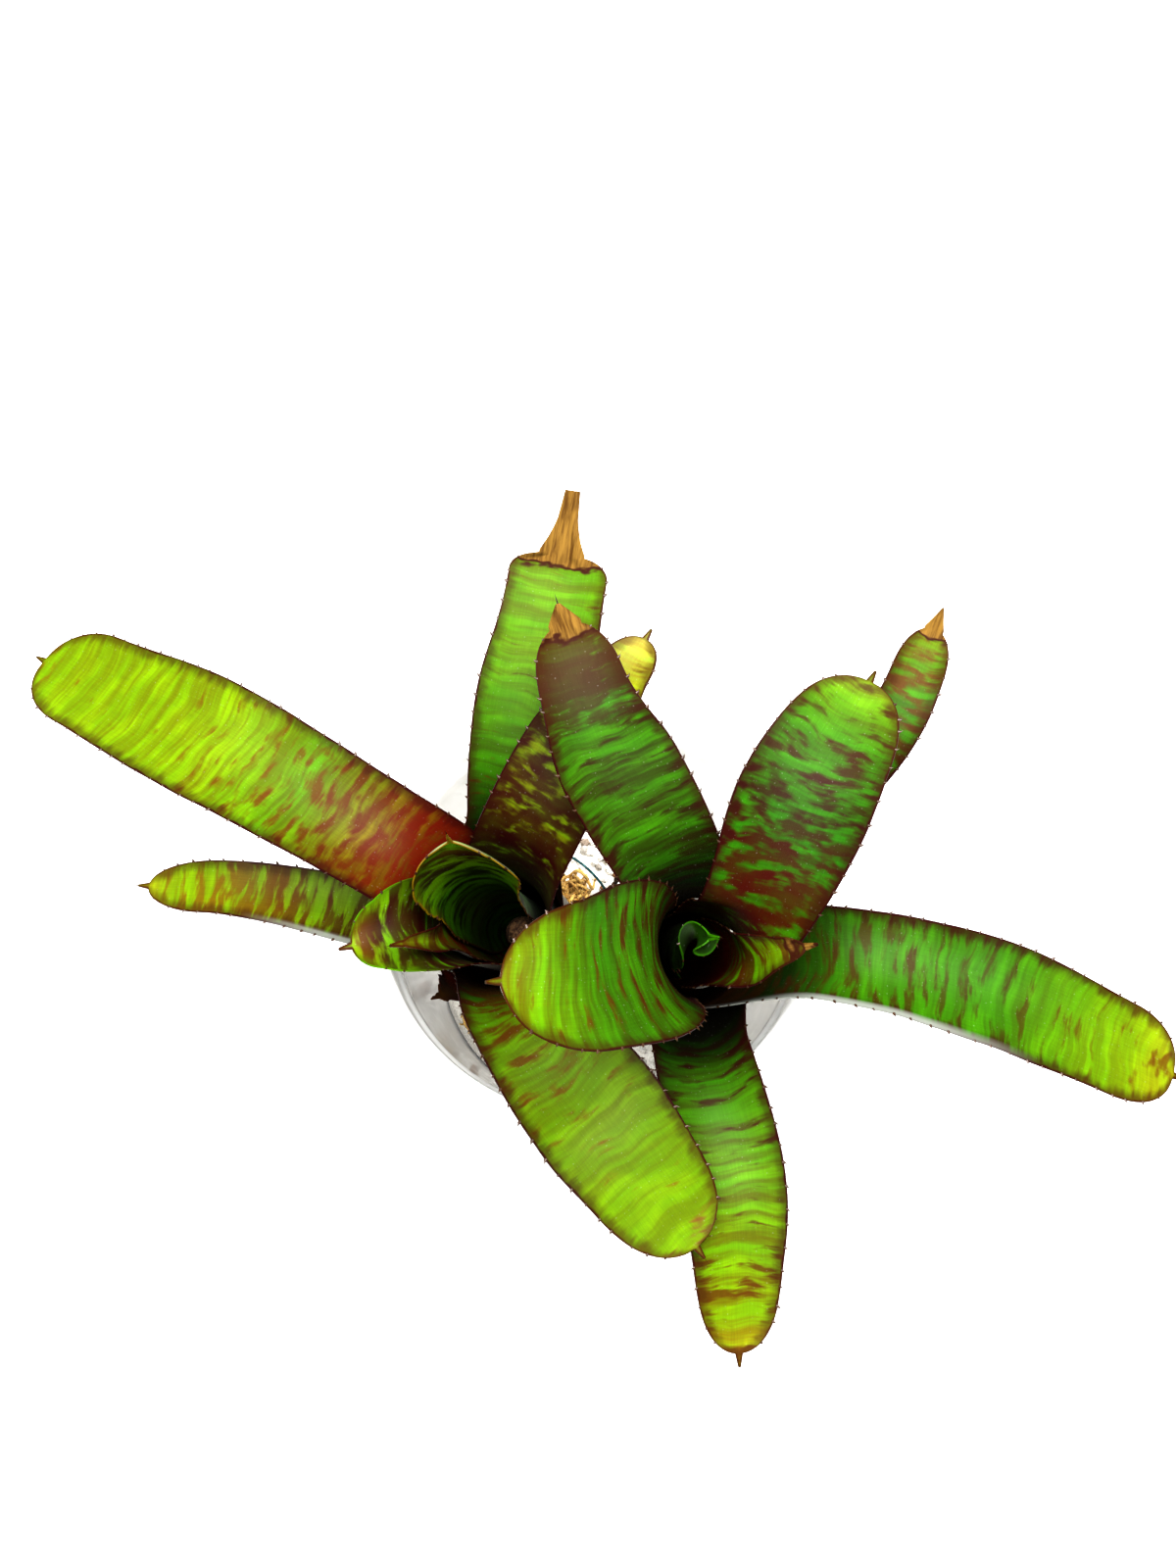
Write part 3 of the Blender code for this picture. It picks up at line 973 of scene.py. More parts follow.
@dataclass(frozen=True)
class Surface:
    """A leaf's middle surface: its grid of points, and each row's place from -1 to 1 and width."""

    grid: Array
    place: Array
    width: Array

    def normals(self) -> Array:
        """Unit normals of the grid, towards the leaf's upper side."""
        return unit(np.cross(np.gradient(self.grid, axis=0), np.gradient(self.grid, axis=1)))

    def run(self) -> Array:
        """Length along the midrib from the foot to each row."""
        return run_along(self.grid[:, self.grid.shape[1] // 2])


@dataclass
class Rosettes:
    """Both rosettes: the two leaning stems, their leaves and the runner that joins them.

    axes holds the middle of each stem's foot and its lean along x and y for each mm of height. lead
    is how far below its throat a blade takes its first direction, crowding the power that sets its
    rows closer towards the tip, tilt how much its upper side leans back from its heading and
    roundness the power of its rounded end. tip_run is the length in which places rise by 1 past
    the blade. pattern_shift moves the ruler map by the leaf's azimuth and ring, so that no two
    leaves have the same pattern, and clear_radius keeps the bed's grains off the stems.
    """

    axes: dict[str, tuple[tuple[float, float], tuple[float, float]]] = field(
        default_factory=lambda: {
            "left": ((-20.0, 4.0), (-0.10, -0.25)),
            "right": ((20.0, -2.0), (0.055, -0.29)),
        }
    )
    stem_foot: float = 46.0
    stem_top: float = 71.0
    stem_radius: float = 5.0
    runner_radius: float = 1.7
    runner_height: float = 47.7
    gap: float = 0.3
    flare: float = 15.0
    sheath_rows: int = 20
    blade_rows: int = 110
    tip_rows: int = 9
    columns: int = 33
    rib_thickness: float = 0.85
    margin_thickness: float = 0.32
    spine_step: float = 4.6
    spine_length: float = 1.35
    root_gap: float = 0.35
    lead: float = 8.0
    crowding: float = 1.25
    tilt: float = 0.7
    roundness: float = 2.2
    tip_run: float = 400.0
    nick_step: float = 2.2
    nick_power: float = 1.6
    frost_fade: float = 0.8
    pattern_shift: tuple[float, float] = (0.37, 9.0)
    clear_radius: float = 5.6

    def axis_at(self, side: str, height: Array | float) -> Array:
        """Centre of a rosette at the given heights, one row of x, y, z each.

        Args:
            side: left or right.
            height: heights in millimetres.

        Returns:
            One point for each height.
        """
        (x, y), (lean_x, lean_y) = self.axes[side]
        height = np.asarray(height, float)
        rise = height - self.stem_foot
        return np.stack([x + lean_x * rise, y + lean_y * rise, height], -1)

    @staticmethod
    def outward(leaf: Leaf) -> Array:
        """Level unit vector from the stem towards the leaf."""
        angle = np.radians(leaf.azimuth)
        return np.array([np.cos(angle), np.sin(angle), 0.0])

    def midrib(self, leaf: Leaf, share: Array, t: Array) -> tuple[Array, Array]:
        """The midrib: up along the stem, then out along the blade.

        The sheath's radius grows from the stem's as root + (ring - root) (1 - (1 - rise/flare)^2).

        Args:
            leaf: the leaf's sizes.
            share: shares of the sheath's height.
            t: shares of the blade's length.

        Returns:
            One point for each share, and the sheath's radius at each of its own.
        """
        out = self.outward(leaf)
        height = leaf.foot + (leaf.throat - leaf.foot) * share
        root = self.stem_radius + self.gap + self.root_gap
        flare = np.clip((height - leaf.foot) / self.flare, 0, 1)
        ring = root + (leaf.ring - root) * (1 - (1 - flare) ** 2)
        sheath = self.axis_at(leaf.side, height) + ring[:, None] * out
        start = self.axis_at(leaf.side, np.array([leaf.throat - self.lead, leaf.throat])) + leaf.ring * out
        return np.vstack([sheath, curve_through([*start, *leaf.path], t)]), ring

    def facing(self, leaf: Leaf, rib: Array, along: Array) -> tuple[Array, Array, Array]:
        """Directions of the leaf at each point of its midrib.

        The sheath faces its stem. Along the blade the heading turns from the leaf's azimuth to the
        midrib's own, and the upper side leans back from it.

        Args:
            leaf: the leaf's sizes.
            rib: the midrib's points.
            along: each point's share of the blade, 0 on the sheath.

        Returns:
            Unit vectors along the midrib, towards the upper side and towards one margin.
        """
        lean = np.array([*self.axes[leaf.side][1], 0.0])
        tangent = unit(np.gradient(rib, axis=0))
        upright = unit(tangent - tangent[:, 2:] * lean)
        level = upright * [1, 1, 0]
        far = np.linalg.norm(level, axis=1, keepdims=True)
        turned = ease(along / 0.3)[:, None] * ease((far - 0.1) / 0.5)
        heading = unit(self.outward(leaf) * (1 - turned) + unit(level) * turned)
        free = ease(along / 0.18)[:, None]
        direction = unit(UP * (1 - free) + upright * free)
        up = UP - self.tilt * heading
        normal = unit(up - (up * direction).sum(1, keepdims=True) * direction)
        return tangent, normal, np.cross(normal, direction)

    def middle_surface(self, leaf: Leaf) -> Surface:
        """The leaf's middle surface.

        Each row is an arc of the half angle th and the length w, drawn from the midrib c towards
        the normal n: c + w/2 sin(th u)/th b + w/2 (1 - cos(th u))/th n, for u from -1 to 1.

        Args:
            leaf: the leaf's sizes.

        Returns:
            The surface, with its rows' places and widths.
        """
        share = np.linspace(0, 1, self.sheath_rows, endpoint=False)
        t = 1 - np.linspace(1, 0, self.blade_rows) ** self.crowding
        rib, ring = self.midrib(leaf, share, t)
        tangent, normal, side = self.facing(leaf, rib, np.concatenate([np.zeros(self.sheath_rows), t]))

        curl = leaf.wrap + (leaf.channel[0] - leaf.wrap) * ease(share)
        half = np.radians(np.concatenate([curl, monotone((0, 0.3, 0.65, 1), leaf.channel, t)]))
        throat_width = 2 * half[self.sheath_rows] * leaf.ring
        width = monotone((0, 0.25, 0.6, 0.88), (throat_width, *leaf.wide), t)
        rounding = np.clip((t - leaf.blunt) / (1 - leaf.blunt), 0, 1)
        width = np.maximum(width * np.sqrt(1 - rounding**self.roundness), leaf.tip[0][1])
        width = np.concatenate([2 * half[: self.sheath_rows] * ring, width])

        reach = np.linspace(0, leaf.tip[-1][0], self.tip_rows + 1)[1:]
        rib = np.vstack([rib, rib[-1] + reach[:, None] * tangent[-1]])
        width = np.concatenate([width, read_stops(leaf.tip, reach)])
        normal, side, half = (
            np.concatenate([rows, np.repeat(rows[-1:], self.tip_rows, 0)]) for rows in (normal, side, half)
        )
        place = np.concatenate([share - 1, t, 1 + reach / self.tip_run])

        u = np.linspace(-1, 1, self.columns)
        run, seed = run_along(rib), int(leaf.azimuth)
        nick = np.abs(np.stack([smooth_noise(seed + k, run, self.nick_step) for k in (0, 1)], -1))
        nick = leaf.torn * nick**self.nick_power * ease((place + 0.2) / 0.3)[:, None]
        trim = 1 - np.where(u < 0, nick[:, :1], nick[:, 1:]) / np.maximum(width[:, None] / 2, 1.5)
        turn = half[:, None] * u * trim
        radius = (width / 2 / half)[:, None]
        across = (radius * np.sin(turn))[..., None] * side[:, None]
        dip = (radius * (1 - np.cos(turn)))[..., None] * normal[:, None]
        return Surface(rib[:, None] + across + dip, place, width)

    def rippled(self, leaf: Leaf, flat: Surface) -> Surface:
        """The surface with a gentle wave towards its margins and creases where it has dried.

        Each point moves along the surface's normal by wave * u^2 * noise(run) plus
        dry * (ridges across + noise along).

        Args:
            leaf: the leaf.
            flat: its middle surface.

        Returns:
            The moved surface.
        """
        u = np.linspace(-1, 1, self.columns)
        seed, run = int(leaf.azimuth * 7 + leaf.ring * 10), flat.run()
        left, right, sway, shift, dent = (
            smooth_noise(seed + k, run, step)[:, None] for k, step in enumerate((9.0, 9.0, 14.0, 6.0, 4.0), 1)
        )
        free = (ease((flat.place - 0.1) / 0.3) * ease(flat.width / 12))[:, None]
        wave = np.where(u < 0, left, right) * u**2 * leaf.wave * free + 0.12 * free * sway
        dry = ease((read_stops(leaf.look.dry, flat.place) - 0.25) / 0.5)[:, None]
        size = np.minimum(flat.width / 20, 1)[:, None]
        wave = wave + dry * size * (0.45 * np.sin(u * 8.0 + 1.5 * shift) + 0.5 * dent)
        return Surface(flat.grid + wave[..., None] * flat.normals(), flat.place, flat.width)

    def sheet(self, leaf: Leaf, middle: Surface) -> Shape:
        """The closed leaf: upper and lower skin a thickness apart, joined by a narrow wall.

        Args:
            leaf: the leaf.
            middle: its middle surface.

        Returns:
            The shape, with the look's colours and values on its points.
        """
        rows, columns = middle.grid.shape[:2]
        u = np.linspace(-1, 1, columns)
        thick = self.margin_thickness + (self.rib_thickness - self.margin_thickness) * (1 - u**2)
        shift = middle.normals() * thick[:, None] / 2
        points = np.vstack([(middle.grid + shift).reshape(-1, 3), (middle.grid - shift).reshape(-1, 3)])
        upper = grid_faces(rows, columns)[:, ::-1]
        lower = grid_faces(rows, columns) + rows * columns
        index = np.arange(rows * columns).reshape(rows, columns)
        rim = np.concatenate([index[0, ::-1], index[1:, 0], index[-1, 1:], index[-2:0:-1, -1]])
        under = rim + rows * columns
        wall = np.stack([rim, np.roll(rim, -1), np.roll(under, -1), under], -1)[:, ::-1]
        kinds = [np.zeros(len(upper), int), np.ones(len(lower), int), np.zeros(len(wall), int)]

        run, half = middle.run()[:, None], middle.width[:, None] / 2
        ruler = np.stack([half * u + 0 * run, np.repeat(run, columns, 1)], -1) / 10
        ruler = (ruler + np.multiply([leaf.azimuth, leaf.ring], self.pattern_shift)).reshape(-1, 2)
        spread = {key: np.repeat(row, columns, 0) for key, row in self.dressed(leaf, middle).items()}
        values = {key: np.concatenate([side, side]) for key, side in spread.items()}
        inside = half * (1 - np.sign(leaf.look.frost) * u)
        frost = np.clip((abs(leaf.look.frost) - inside) / self.frost_fade, 0, 1)
        frost = frost * read_stops(FROST_RUN, middle.place)[:, None]
        values["edge"] = np.tile((half * (1 - np.abs(u))).ravel(), 2)
        values["frost"] = np.tile(frost.ravel(), 2)
        return Shape(points, [upper, lower, wall], kinds, values, np.vstack([ruler, ruler]))

    def dressed(self, leaf: Leaf, middle: Surface) -> dict[str, Array]:
        """The look's colours and values for each row of a surface.

        Args:
            leaf: the leaf.
            middle: its middle surface.

        Returns:
            The rows by the attributes' names.
        """
        look, place = leaf.look, middle.place
        fresh = read_colours(look.fresh, place)
        return {
            "fresh": fresh,
            "shade": fresh * look.darker,
            # glow: the fresh colour brightened, painted light as if sun shone through the leaf
            "glow": fresh * PAINTED_GLOW,
            "stain": read_stops(look.stain, place),
            "dust": np.full(len(place), look.dust),
            "band": read_colours(look.band, place),
            "hem": read_colours(look.hem, place),
            "cover": read_stops(look.cover, place),
            "zebra": read_stops(look.zebra, place),
            "blotch": read_stops(look.blotch, place),
            "dry": read_stops(look.dry, place),
        }

    def spines(self, leaf: Leaf, middle: Surface) -> Shape:
        """Hooked marginal spines and the longer one at the tip.

        Args:
            leaf: the leaf.
            middle: its middle surface.

        Returns:
            All spines as one shape.
        """
        rng = np.random.default_rng(int(leaf.azimuth * 13 + leaf.ring * 7))
        grid, normal, centre = middle.grid, middle.normals(), self.columns // 2
        roots, outs, runs, ups, sizes = [], [], [], [], []
        for column, beside in ((0, 1), (-1, -2)):
            line = grid[:, column]
            run = run_along(line)
            first, last = np.interp([-0.25, 0.985], middle.place, run)
            count = max(int((last - first) / self.spine_step), 2)
            at = first + (np.arange(count) + rng.uniform(-0.22, 0.22, count) + 0.5) * (last - first) / count
            pick = np.clip(np.searchsorted(run, at), 1, len(run) - 2)
            weight = ((at - run[pick - 1]) / (run[pick] - run[pick - 1]))[:, None]
            roots.append(line[pick - 1] * (1 - weight) + line[pick] * weight)
            outs.append(unit(line[pick] - grid[pick, beside]))
            runs.append(unit(line[pick + 1] - line[pick - 1]))
            ups.append(normal[pick, column])
            sizes.append(rng.uniform(0.7, 1.1, count) * np.interp(middle.width[pick], [4, 14], [0.5, 1.0]))
        roots.append(grid[-1:, centre])
        outs.append(unit(grid[-1:, centre] - grid[-3:-2, centre]))
        runs.append(outs[-1])
        ups.append(normal[-1:, centre])
        sizes.append(np.array([1.6 * leaf.mucro]))
        size = np.concatenate(sizes)[:, None] * self.spine_length
        return self.hooks(*(np.vstack(rows) for rows in (roots, outs, runs, ups)), size)

    @staticmethod
    def hooks(root: Array, out: Array, run: Array, up: Array, size: Array) -> Shape:
        """Hooks of two rings of six points and a point at the end, closed behind by another.

        A hook's axis starts just inside the margin, leaves square to it and bends towards the tip.

        Args:
            root: where each hook stands on the margin.
            out: unit directions away from the leaf.
            run: unit directions along the margin.
            up: unit normals of the leaf.
            size: the hooks' lengths, as a column.

        Returns:
            The hooks as one shape.
        """
        base = root - out * 0.25
        turn = np.arange(6) * pi / 3
        rings = []
        for reach, lean, wide in ((0.0, 0.0, 0.36), (0.45, 0.10, 0.22)):
            centre = base + out * reach * size + run * lean * size
            across = np.cos(turn)[:, None] * (run * size * wide)[:, None]
            through = np.sin(turn)[:, None] * (up * size * wide * 0.62)[:, None]
            rings.append(centre[:, None] + across + through)
        end = base + out * 0.85 * size + run * 0.50 * size
        points = np.concatenate([*rings, end[:, None], base[:, None]], 1)
        low = np.arange(6)
        high = low + 6
        quads = np.stack([low, np.roll(low, -1), np.roll(high, -1), high], -1)
        fore = np.stack([high, np.roll(high, -1), np.full(6, 12)], -1)
        rear = np.stack([np.roll(low, -1), low, np.full(6, 13)], -1)
        start = (np.arange(len(root)) * 14)[:, None, None]
        turned = np.einsum("ij,ij->i", np.cross(run, up), out) < 0
        faces = []
        for block in (quads, np.vstack([fore, rear])):
            every = block + start
            every[turned] = every[turned][:, :, ::-1]
            faces.append(every.reshape(-1, block.shape[1]))
        return Shape(points.reshape(-1, 3), faces, [np.full(len(f), 2) for f in faces])

    def build_leaf(self, leaf: Leaf, skins: LeafSkins) -> Piece:
        """One leaf with its spines, as a piece that stands for its CAD node.

        Args:
            leaf: the leaf.
            skins: the materials that leaves wear.

        Returns:
            The piece.
        """
        middle = self.rippled(leaf, self.middle_surface(leaf))
        shape = Shape.join([self.sheet(leaf, middle), self.spines(leaf, middle)])
        materials = (skins.upper, skins.lower, skins.horn)
        return make_piece(leaf.name + "_skin", shape, materials, [leaf.name])

    def build_stem(self, side: str, bark: Material) -> Piece:
        """A leaning stem with leaf scars: its radius is r (1 + 0.025 sin(2.4 height) + 0.015 noise).

        Args:
            side: left or right.
            bark: its material.

        Returns:
            The piece.
        """
        height = np.linspace(self.stem_foot, self.stem_top, 60)
        swell = 1 + 0.025 * np.sin(height * 2.4) + 0.015 * smooth_noise(len(side), height, 1.5)
        end = np.sqrt(np.clip(1 - ((height - self.stem_top + 6) / 8).clip(0, 1) ** 2, 0, 1))
        radii = (self.stem_radius - 0.3) * swell * end
        shape = tubes(self.axis_at(side, height)[None], radii[None], 40)
        shape.points[:, 2] = np.maximum(shape.points[:, 2], self.stem_foot)
        return make_piece(f"stem_{side}_bark", shape, [bark], [f"stem_{side}"])

    def build_runner(self, bark: Material) -> Piece:
        """The runner between the stems, with a ring at each of its old nodes.

        Args:
            bark: its material.

        Returns:
            The piece.
        """
        a, b = (self.axis_at(side, self.runner_height) for side in SIDES)
        along = unit(b - a)
        reach = self.stem_radius + self.gap
        a, b = a + along * reach, b - along * reach
        t = np.linspace(0, 1, 70)[:, None]
        path = a + (b - a) * t + np.array([0.0, 3.0, 0.0]) * np.sin(pi * t)
        radii = self.runner_radius * (0.94 + 0.06 * np.cos(t[:, 0] * 2 * pi * 6) ** 8)
        return make_piece("runner_bark", tubes(path[None], radii[None], 24), [bark], ["runner"])


# The near black INK_AND_CUP_SHADE at the leaves' feet, throats and cups is partly their own colour and partly
# painted shade deep in the rosettes
LEAVES: tuple[Leaf, ...] = (
    Leaf(
        "left_leaf_low", "left", 181, 19.4, 50, 84,
        ((-48, -11, 103), (-92, -4, 110), (-120, -1, 106)), (22, 17, 15), (64, 36, 26, 20),
        LeafLook(
            ((-1, WINE), (0, BROWN), (0.2, GRASS), (0.6, LIME), (0.9, LIME), (1, YELLOW)),
            ((-1, 0.9), (0, 0.6), (0.2, 0.42), (0.5, 0.45), (0.62, 0.66), (0.8, 0.55), (0.92, 0.3),
             (1, 0.2)),
            band=((-1, WINE), (0.4, BROWN), (0.6, RUST), (0.8, OCHRE)), darker=OLIVE_SHADE, frost=1.9,
        ),
        blunt=0.78,
    ),
    Leaf(
        "left_leaf_stub", "left", 230, 20.8, 48.5, 84,
        ((-39, -25.5, 91), (-40.5, -27.5, 95), (-42, -29, 98)), (13, 11, 7), (24, 26, 28, 30),
        LeafLook(((0, INK_AND_CUP_SHADE), (1, WINE)), steady(0.8), dry=((0.9, 0), (1, 0.4))),
        Slot.DARK, 0.7, 34, torn=1.6, mucro=0.3,
    ),
    Leaf(
        "left_leaf_front", "left", 286, 18, 52, 96,
        ((-20.4, -37.2, 118), (0.4, -64.8, 124.5), (22.6, -92, 114)), (26, 32.5, 27.5), (66, 36, 24, 18),
        LeafLook(
            ((0, WINE), (0.16, BOTTLE), (0.3, GRASS), (0.55, MEADOW), (0.95, PEA), (1, LIME)),
            ((-1, 0.95), (0, 0.85), (0.2, 0.5), (0.35, 0.4), (0.5, 0.36), (0.65, 0.16), (0.9, 0.1),
             (1, 0.5)),
            zebra=((0.5, 0.9), (1, 0.6)),
            blotch=((-1, 0), (0.3, 0.3), (1, 0.5)),
            band=((-1, WINE), (0.2, BROWN), (0.5, RUST), (0.9, OCHRE), (1, SALMON)),
            darker=OLIVE_SHADE,
        ),
        blunt=0.8,
    ),
    Leaf(
        "left_leaf_dry_tip", "left", 78, 16.6, 54, 100,
        ((-21, 18, 127), (-12.5, 52, 147), (-9, 72, 154)), (25, 30, 26), (78, 34, 24, 22),
        LeafLook(
            ((-1, WINE), (0, BROWN), (0.2, BOTTLE), (0.4, GREEN), (0.7, GRASS)),
            ((-1, 0.8), (0, 0.5), (0.2, 0.15), (0.85, 0.05), (1, 0.2)),
            zebra=((-1, 0.8), (1, 0.7)),
            dry=((0.93, 0), (0.965, 0.5), (0.985, 1)),
        ),
        blunt=0.93, tip=((0, 12), (4, 8.4), (9, 5.4), (17, 4)),
    ),
    Leaf(
        "left_leaf_long", "left", 143, 15.2, 56, 103,
        ((-46.3, -2.6, 127), (-95, 24, 138), (-151, 57, 126)), (31, 33.5, 29), (78, 36, 24, 16),
        LeafLook(
            ((-0.1, WINE), (0.08, OXBLOOD), (0.15, RUSSET), (0.26, OLIVE), (0.4, GRASS), (0.55, LIME)),
            ((-1, 0.95), (0.1, 0.85), (0.2, 0.58), (0.35, 0.44), (0.5, 0.32), (0.7, 0.12), (0.93, 0.08),
             (1, 0.35)),
            zebra=((-1, 0.8), (0.5, 1), (1, 0.75)),
            blotch=((-1, 0), (0.3, 0.4), (1, 0.6)),
            band=((-1, WINE), (0.12, OXBLOOD), (0.3, MAHOGANY), (0.5, RUST), (1, OCHRE)),
            darker=OLIVE_SHADE,
        ),
        blunt=0.86,
    ),
    Leaf(
        "left_leaf_back", "left", 60, 13.8, 58, 110,
        ((-17, 1.5, 132), (-4, 21, 148), (12, 47, 153)), (28, 26, 15), (80, 40, 26, 30),
        LeafLook(
            ((-1, WINE), (0, GREEN), (0.3, LIME), (0.6, LIME), (0.8, YELLOW), (1, BUTTER)),
            ((-1, 0.95), (0, 0.85), (0.3, 0.72), (0.6, 0.58), (0.8, 0.25), (1, 0.1)),
            blotch=((-1, 0.3), (0.3, 0.6), (1, 0.4)),
            band=((-1, INK_AND_CUP_SHADE), (0.2, WINE), (0.6, CLARET), (1, RUST)),
        ),
        Slot.MAROON, 0.85,
    ),
    Leaf(
        "left_leaf_short", "left", 199, 12.6, 60, 114,
        ((-44.5, -23, 133), (-52, -26, 137), (-57.5, -28, 138.6)), (33, 28, 21), (88, 74, 55, 45),
        LeafLook(
            ((-1, WINE), (0, BOTTLE), (0.3, GREEN), (0.7, GRASS), (1, LIME)),
            ((-1, 0.9), (0, 0.75), (0.5, 0.68), (0.85, 0.56), (1, 0.42)),
            band=((-1, INK_AND_CUP_SHADE), (0.3, WINE), (0.8, WINE), (1, RUST)),
            hem=((0.5, WINE), (0.8, GRASS), (0.95, GRASS), (1, BROWN)),
            stain=((-1, 0.2), (1, 0.35)), dust=0.4,
        ),
        Slot.MAROON, 0.7, 110, mucro=0.5,
    ),
    Leaf(
        "left_leaf_spear", "left", 218, 11.1, 62, 120,
        ((-38.6, -25.4, 134), (-43.1, -27.6, 140), (-45.4, -28.6, 142)), (10, 8, 6), (35, 45, 60, 60),
        LeafLook(((-1, BOTTLE), (0, GREEN), (0.6, GRASS), (1, LIME)), ((-1, 0.6), (0.5, 0.5), (1, 0.4))),
        Slot.YOUNG, 0.5, 60, mucro=0.6,
    ),
    # The hood's near black bands inside its cup are partly real bands and partly painted shade
    Leaf(
        "left_leaf_hood", "left", 110, 9.6, 64, 120,
        ((-33, -7, 138), (-34, -6.5, 145), (-34.5, -6, 149)), (32, 33, 27), (106, 92, 70, 55),
        LeafLook(
            ((-1, BOTTLE), (-0.2, GREEN), (0.2, GREEN), (0.6, GRASS)),
            ((-1, 0.48), (0, 0.46), (0.6, 0.48), (1, 0.5)),
            zebra=((-1, 0.3), (1, 0.5)),
            band=((0.5, INK_AND_CUP_SHADE), (0.8, WINE), (1, RUST)),
            hem=((-1, WINE), (0, BROWN), (0.4, OCHRE)),
            stain=((-1, 0.1), (1, 0.3)), dust=0.25,
        ),
        Slot.MAROON, 0.65, 120, torn=1.3,
    ),
    # Near black from the foot to past the throat: partly the leaf's own colour, partly painted shade in its
    # cup
    Leaf(
        "right_leaf_front", "right", 275, 18, 50, 92,
        ((26.5, -51.5, 110), (31.5, -77, 112.5), (32.8, -114, 99.5)), (27, 26, 20), (74, 46, 32, 22),
        LeafLook(
            ((0.12, INK_AND_CUP_SHADE), (0.22, BOTTLE), (0.32, GREEN), (0.6, GRASS), (0.9, LIME), (1, YELLOW)),
            ((-1, 0.95), (0, 0.8), (0.2, 0.5), (0.35, 0.22), (0.7, 0.2), (0.84, 0.5), (0.93, 0.3)),
            zebra=steady(0.9),
            band=((0.15, INK_AND_CUP_SHADE), (0.3, WINE), (0.6, BROWN), (1, RUST)),
        ),
        blunt=0.8,
    ),
    Leaf(
        "right_leaf_narrow", "right", 49, 16.6, 52, 92,
        ((49.5, 6, 120), (75, 30.5, 139), (87, 54.8, 145.5)), (18, 17, 14), (66, 32, 28, 24),
        LeafLook(
            ((-1, WINE), (0, BOTTLE), (0.4, GREEN), (0.8, GREEN), (0.93, GRASS), (1, LIME)),
            ((-1, 0.8), (0.2, 0.5), (0.8, 0.5), (1, 0.45)),
            blotch=((-1, 0.2), (1, 0.4)),
            dry=((0.94, 0), (0.98, 0.5), (1, 0.8), (1.2, 1)),
        ),
        blunt=0.86, wrap=95, tip=((0, 5), (2.5, 3), (6, 0.6)),
    ),
    Leaf(
        "right_leaf_long", "right", 355, 15.2, 54, 102,
        ((56, -25.5, 121), (93.5, -35, 124), (141, -52.5, 112)), (27, 28, 25), (76, 44, 26, 18),
        LeafLook(
            ((0, WINE), (0.14, BOTTLE), (0.3, GREEN), (0.6, GREEN), (0.75, GRASS), (0.9, LIME),
             (1, YELLOW)),
            ((-1, 0.85), (0.05, 0.6), (0.2, 0.42), (0.6, 0.34), (0.85, 0.16), (0.97, 0.36), (1, 0.45)),
            blotch=((-1, 0), (0.8, 0.2), (1, 1)),
            zebra=((-1, 0.9), (1, 0.7)),
            band=((-1, WINE), (0.1, BROWN), (0.6, KHAKI), (0.9, RUST)),
            darker=OLIVE_SHADE, stain=steady(1), frost=-2.2,
        ),
        blunt=0.86,
    ),
    Leaf(
        "right_leaf_dry_tip", "right", 112, 13.8, 56, 106,
        ((17, -7.5, 138), (0, 18.5, 158.5), (-8, 42.5, 167)), (28, 30, 21), (78, 40, 26, 24),
        LeafLook(
            ((0, WINE), (0.25, BOTTLE), (0.5, GREEN), (0.8, GREEN), (1, GRASS)),
            ((-1, 0.95), (0.1, 0.75), (0.25, 0.5), (0.45, 0.33), (0.7, 0.32), (0.82, 0.8), (1, 0.9)),
            zebra=steady(1),
            band=((-1, WINE), (0.3, PEAT), (0.7, UMBER), (1, BROWN)),
            darker=DEEP_SHADE,
            blotch=((-1, 0), (0.7, 0.1), (0.85, 0.4)),
            dry=((0.92, 0), (0.965, 0.5), (1, 0.9), (1.2, 1)),
        ),
        blunt=0.84, tip=((0, 8), (2.5, 4.5), (5, 1)),
    ),
    # Near black at the throat: partly the leaf's own colour, partly painted shade in the cup
    Leaf(
        "right_leaf_high", "right", 192, 12.2, 58, 116,
        ((12, -37, 157), (-3, -46.5, 177), (-19, -49.5, 185)), (31, 37, 31), (80, 60, 34, 26),
        LeafLook(
            ((0, INK_AND_CUP_SHADE), (0.2, WINE), (0.36, BOTTLE), (0.5, GREEN), (0.75, GREEN), (0.9, GRASS), (1, LIME)),
            ((-1, 0.95), (0.15, 0.85), (0.33, 0.66), (0.5, 0.44), (0.7, 0.26), (0.9, 0.14), (1, 0.2)),
            zebra=steady(0.9),
            band=((-1, INK_AND_CUP_SHADE), (0.3, WINE), (0.6, BROWN), (1, RUST)),
        ),
        blunt=0.78, mucro=0.25,
    ),
    Leaf(
        "right_leaf_back", "right", 42, 10.8, 60, 116,
        ((36.5, -20.5, 142), (48.5, 3, 160), (64, 29, 163)), (27, 32, 27), (72, 42, 26, 22),
        LeafLook(
            ((-1, WINE), (0.1, GRASS), (0.3, GREEN), (0.5, JADE), (0.8, GREEN), (0.92, GRASS), (1, LIME)),
            ((-1, 0.95), (0.1, 0.74), (0.4, 0.62), (0.7, 0.48), (0.88, 0.34), (1, 0.3)),
            blotch=((-1, 0.4), (0.4, 0.6), (0.7, 0.4), (1, 0.5)),
            band=((-1, INK_AND_CUP_SHADE), (0.12, WINE), (0.3, CRIMSON), (0.6, PLUM), (1, BROWN)),
        ),
        blunt=0.78,
    ),
    Leaf(
        "right_leaf_short", "right", 346, 9.4, 62, 118,
        ((34.5, -31, 138), (39.5, -32, 146), (46, -32.3, 152)), (20, 15, 9), (80, 66, 50, 40),
        LeafLook(
            ((-1, WINE), (0, BROWN), (0.3, GREEN), (0.7, GRASS), (1, LIME)),
            ((-1, 0.9), (0, 0.75), (0.5, 0.62), (0.8, 0.45), (1, 0.3)),
            dry=((0.75, 0), (0.92, 0.45), (1.2, 0.8)),
        ),
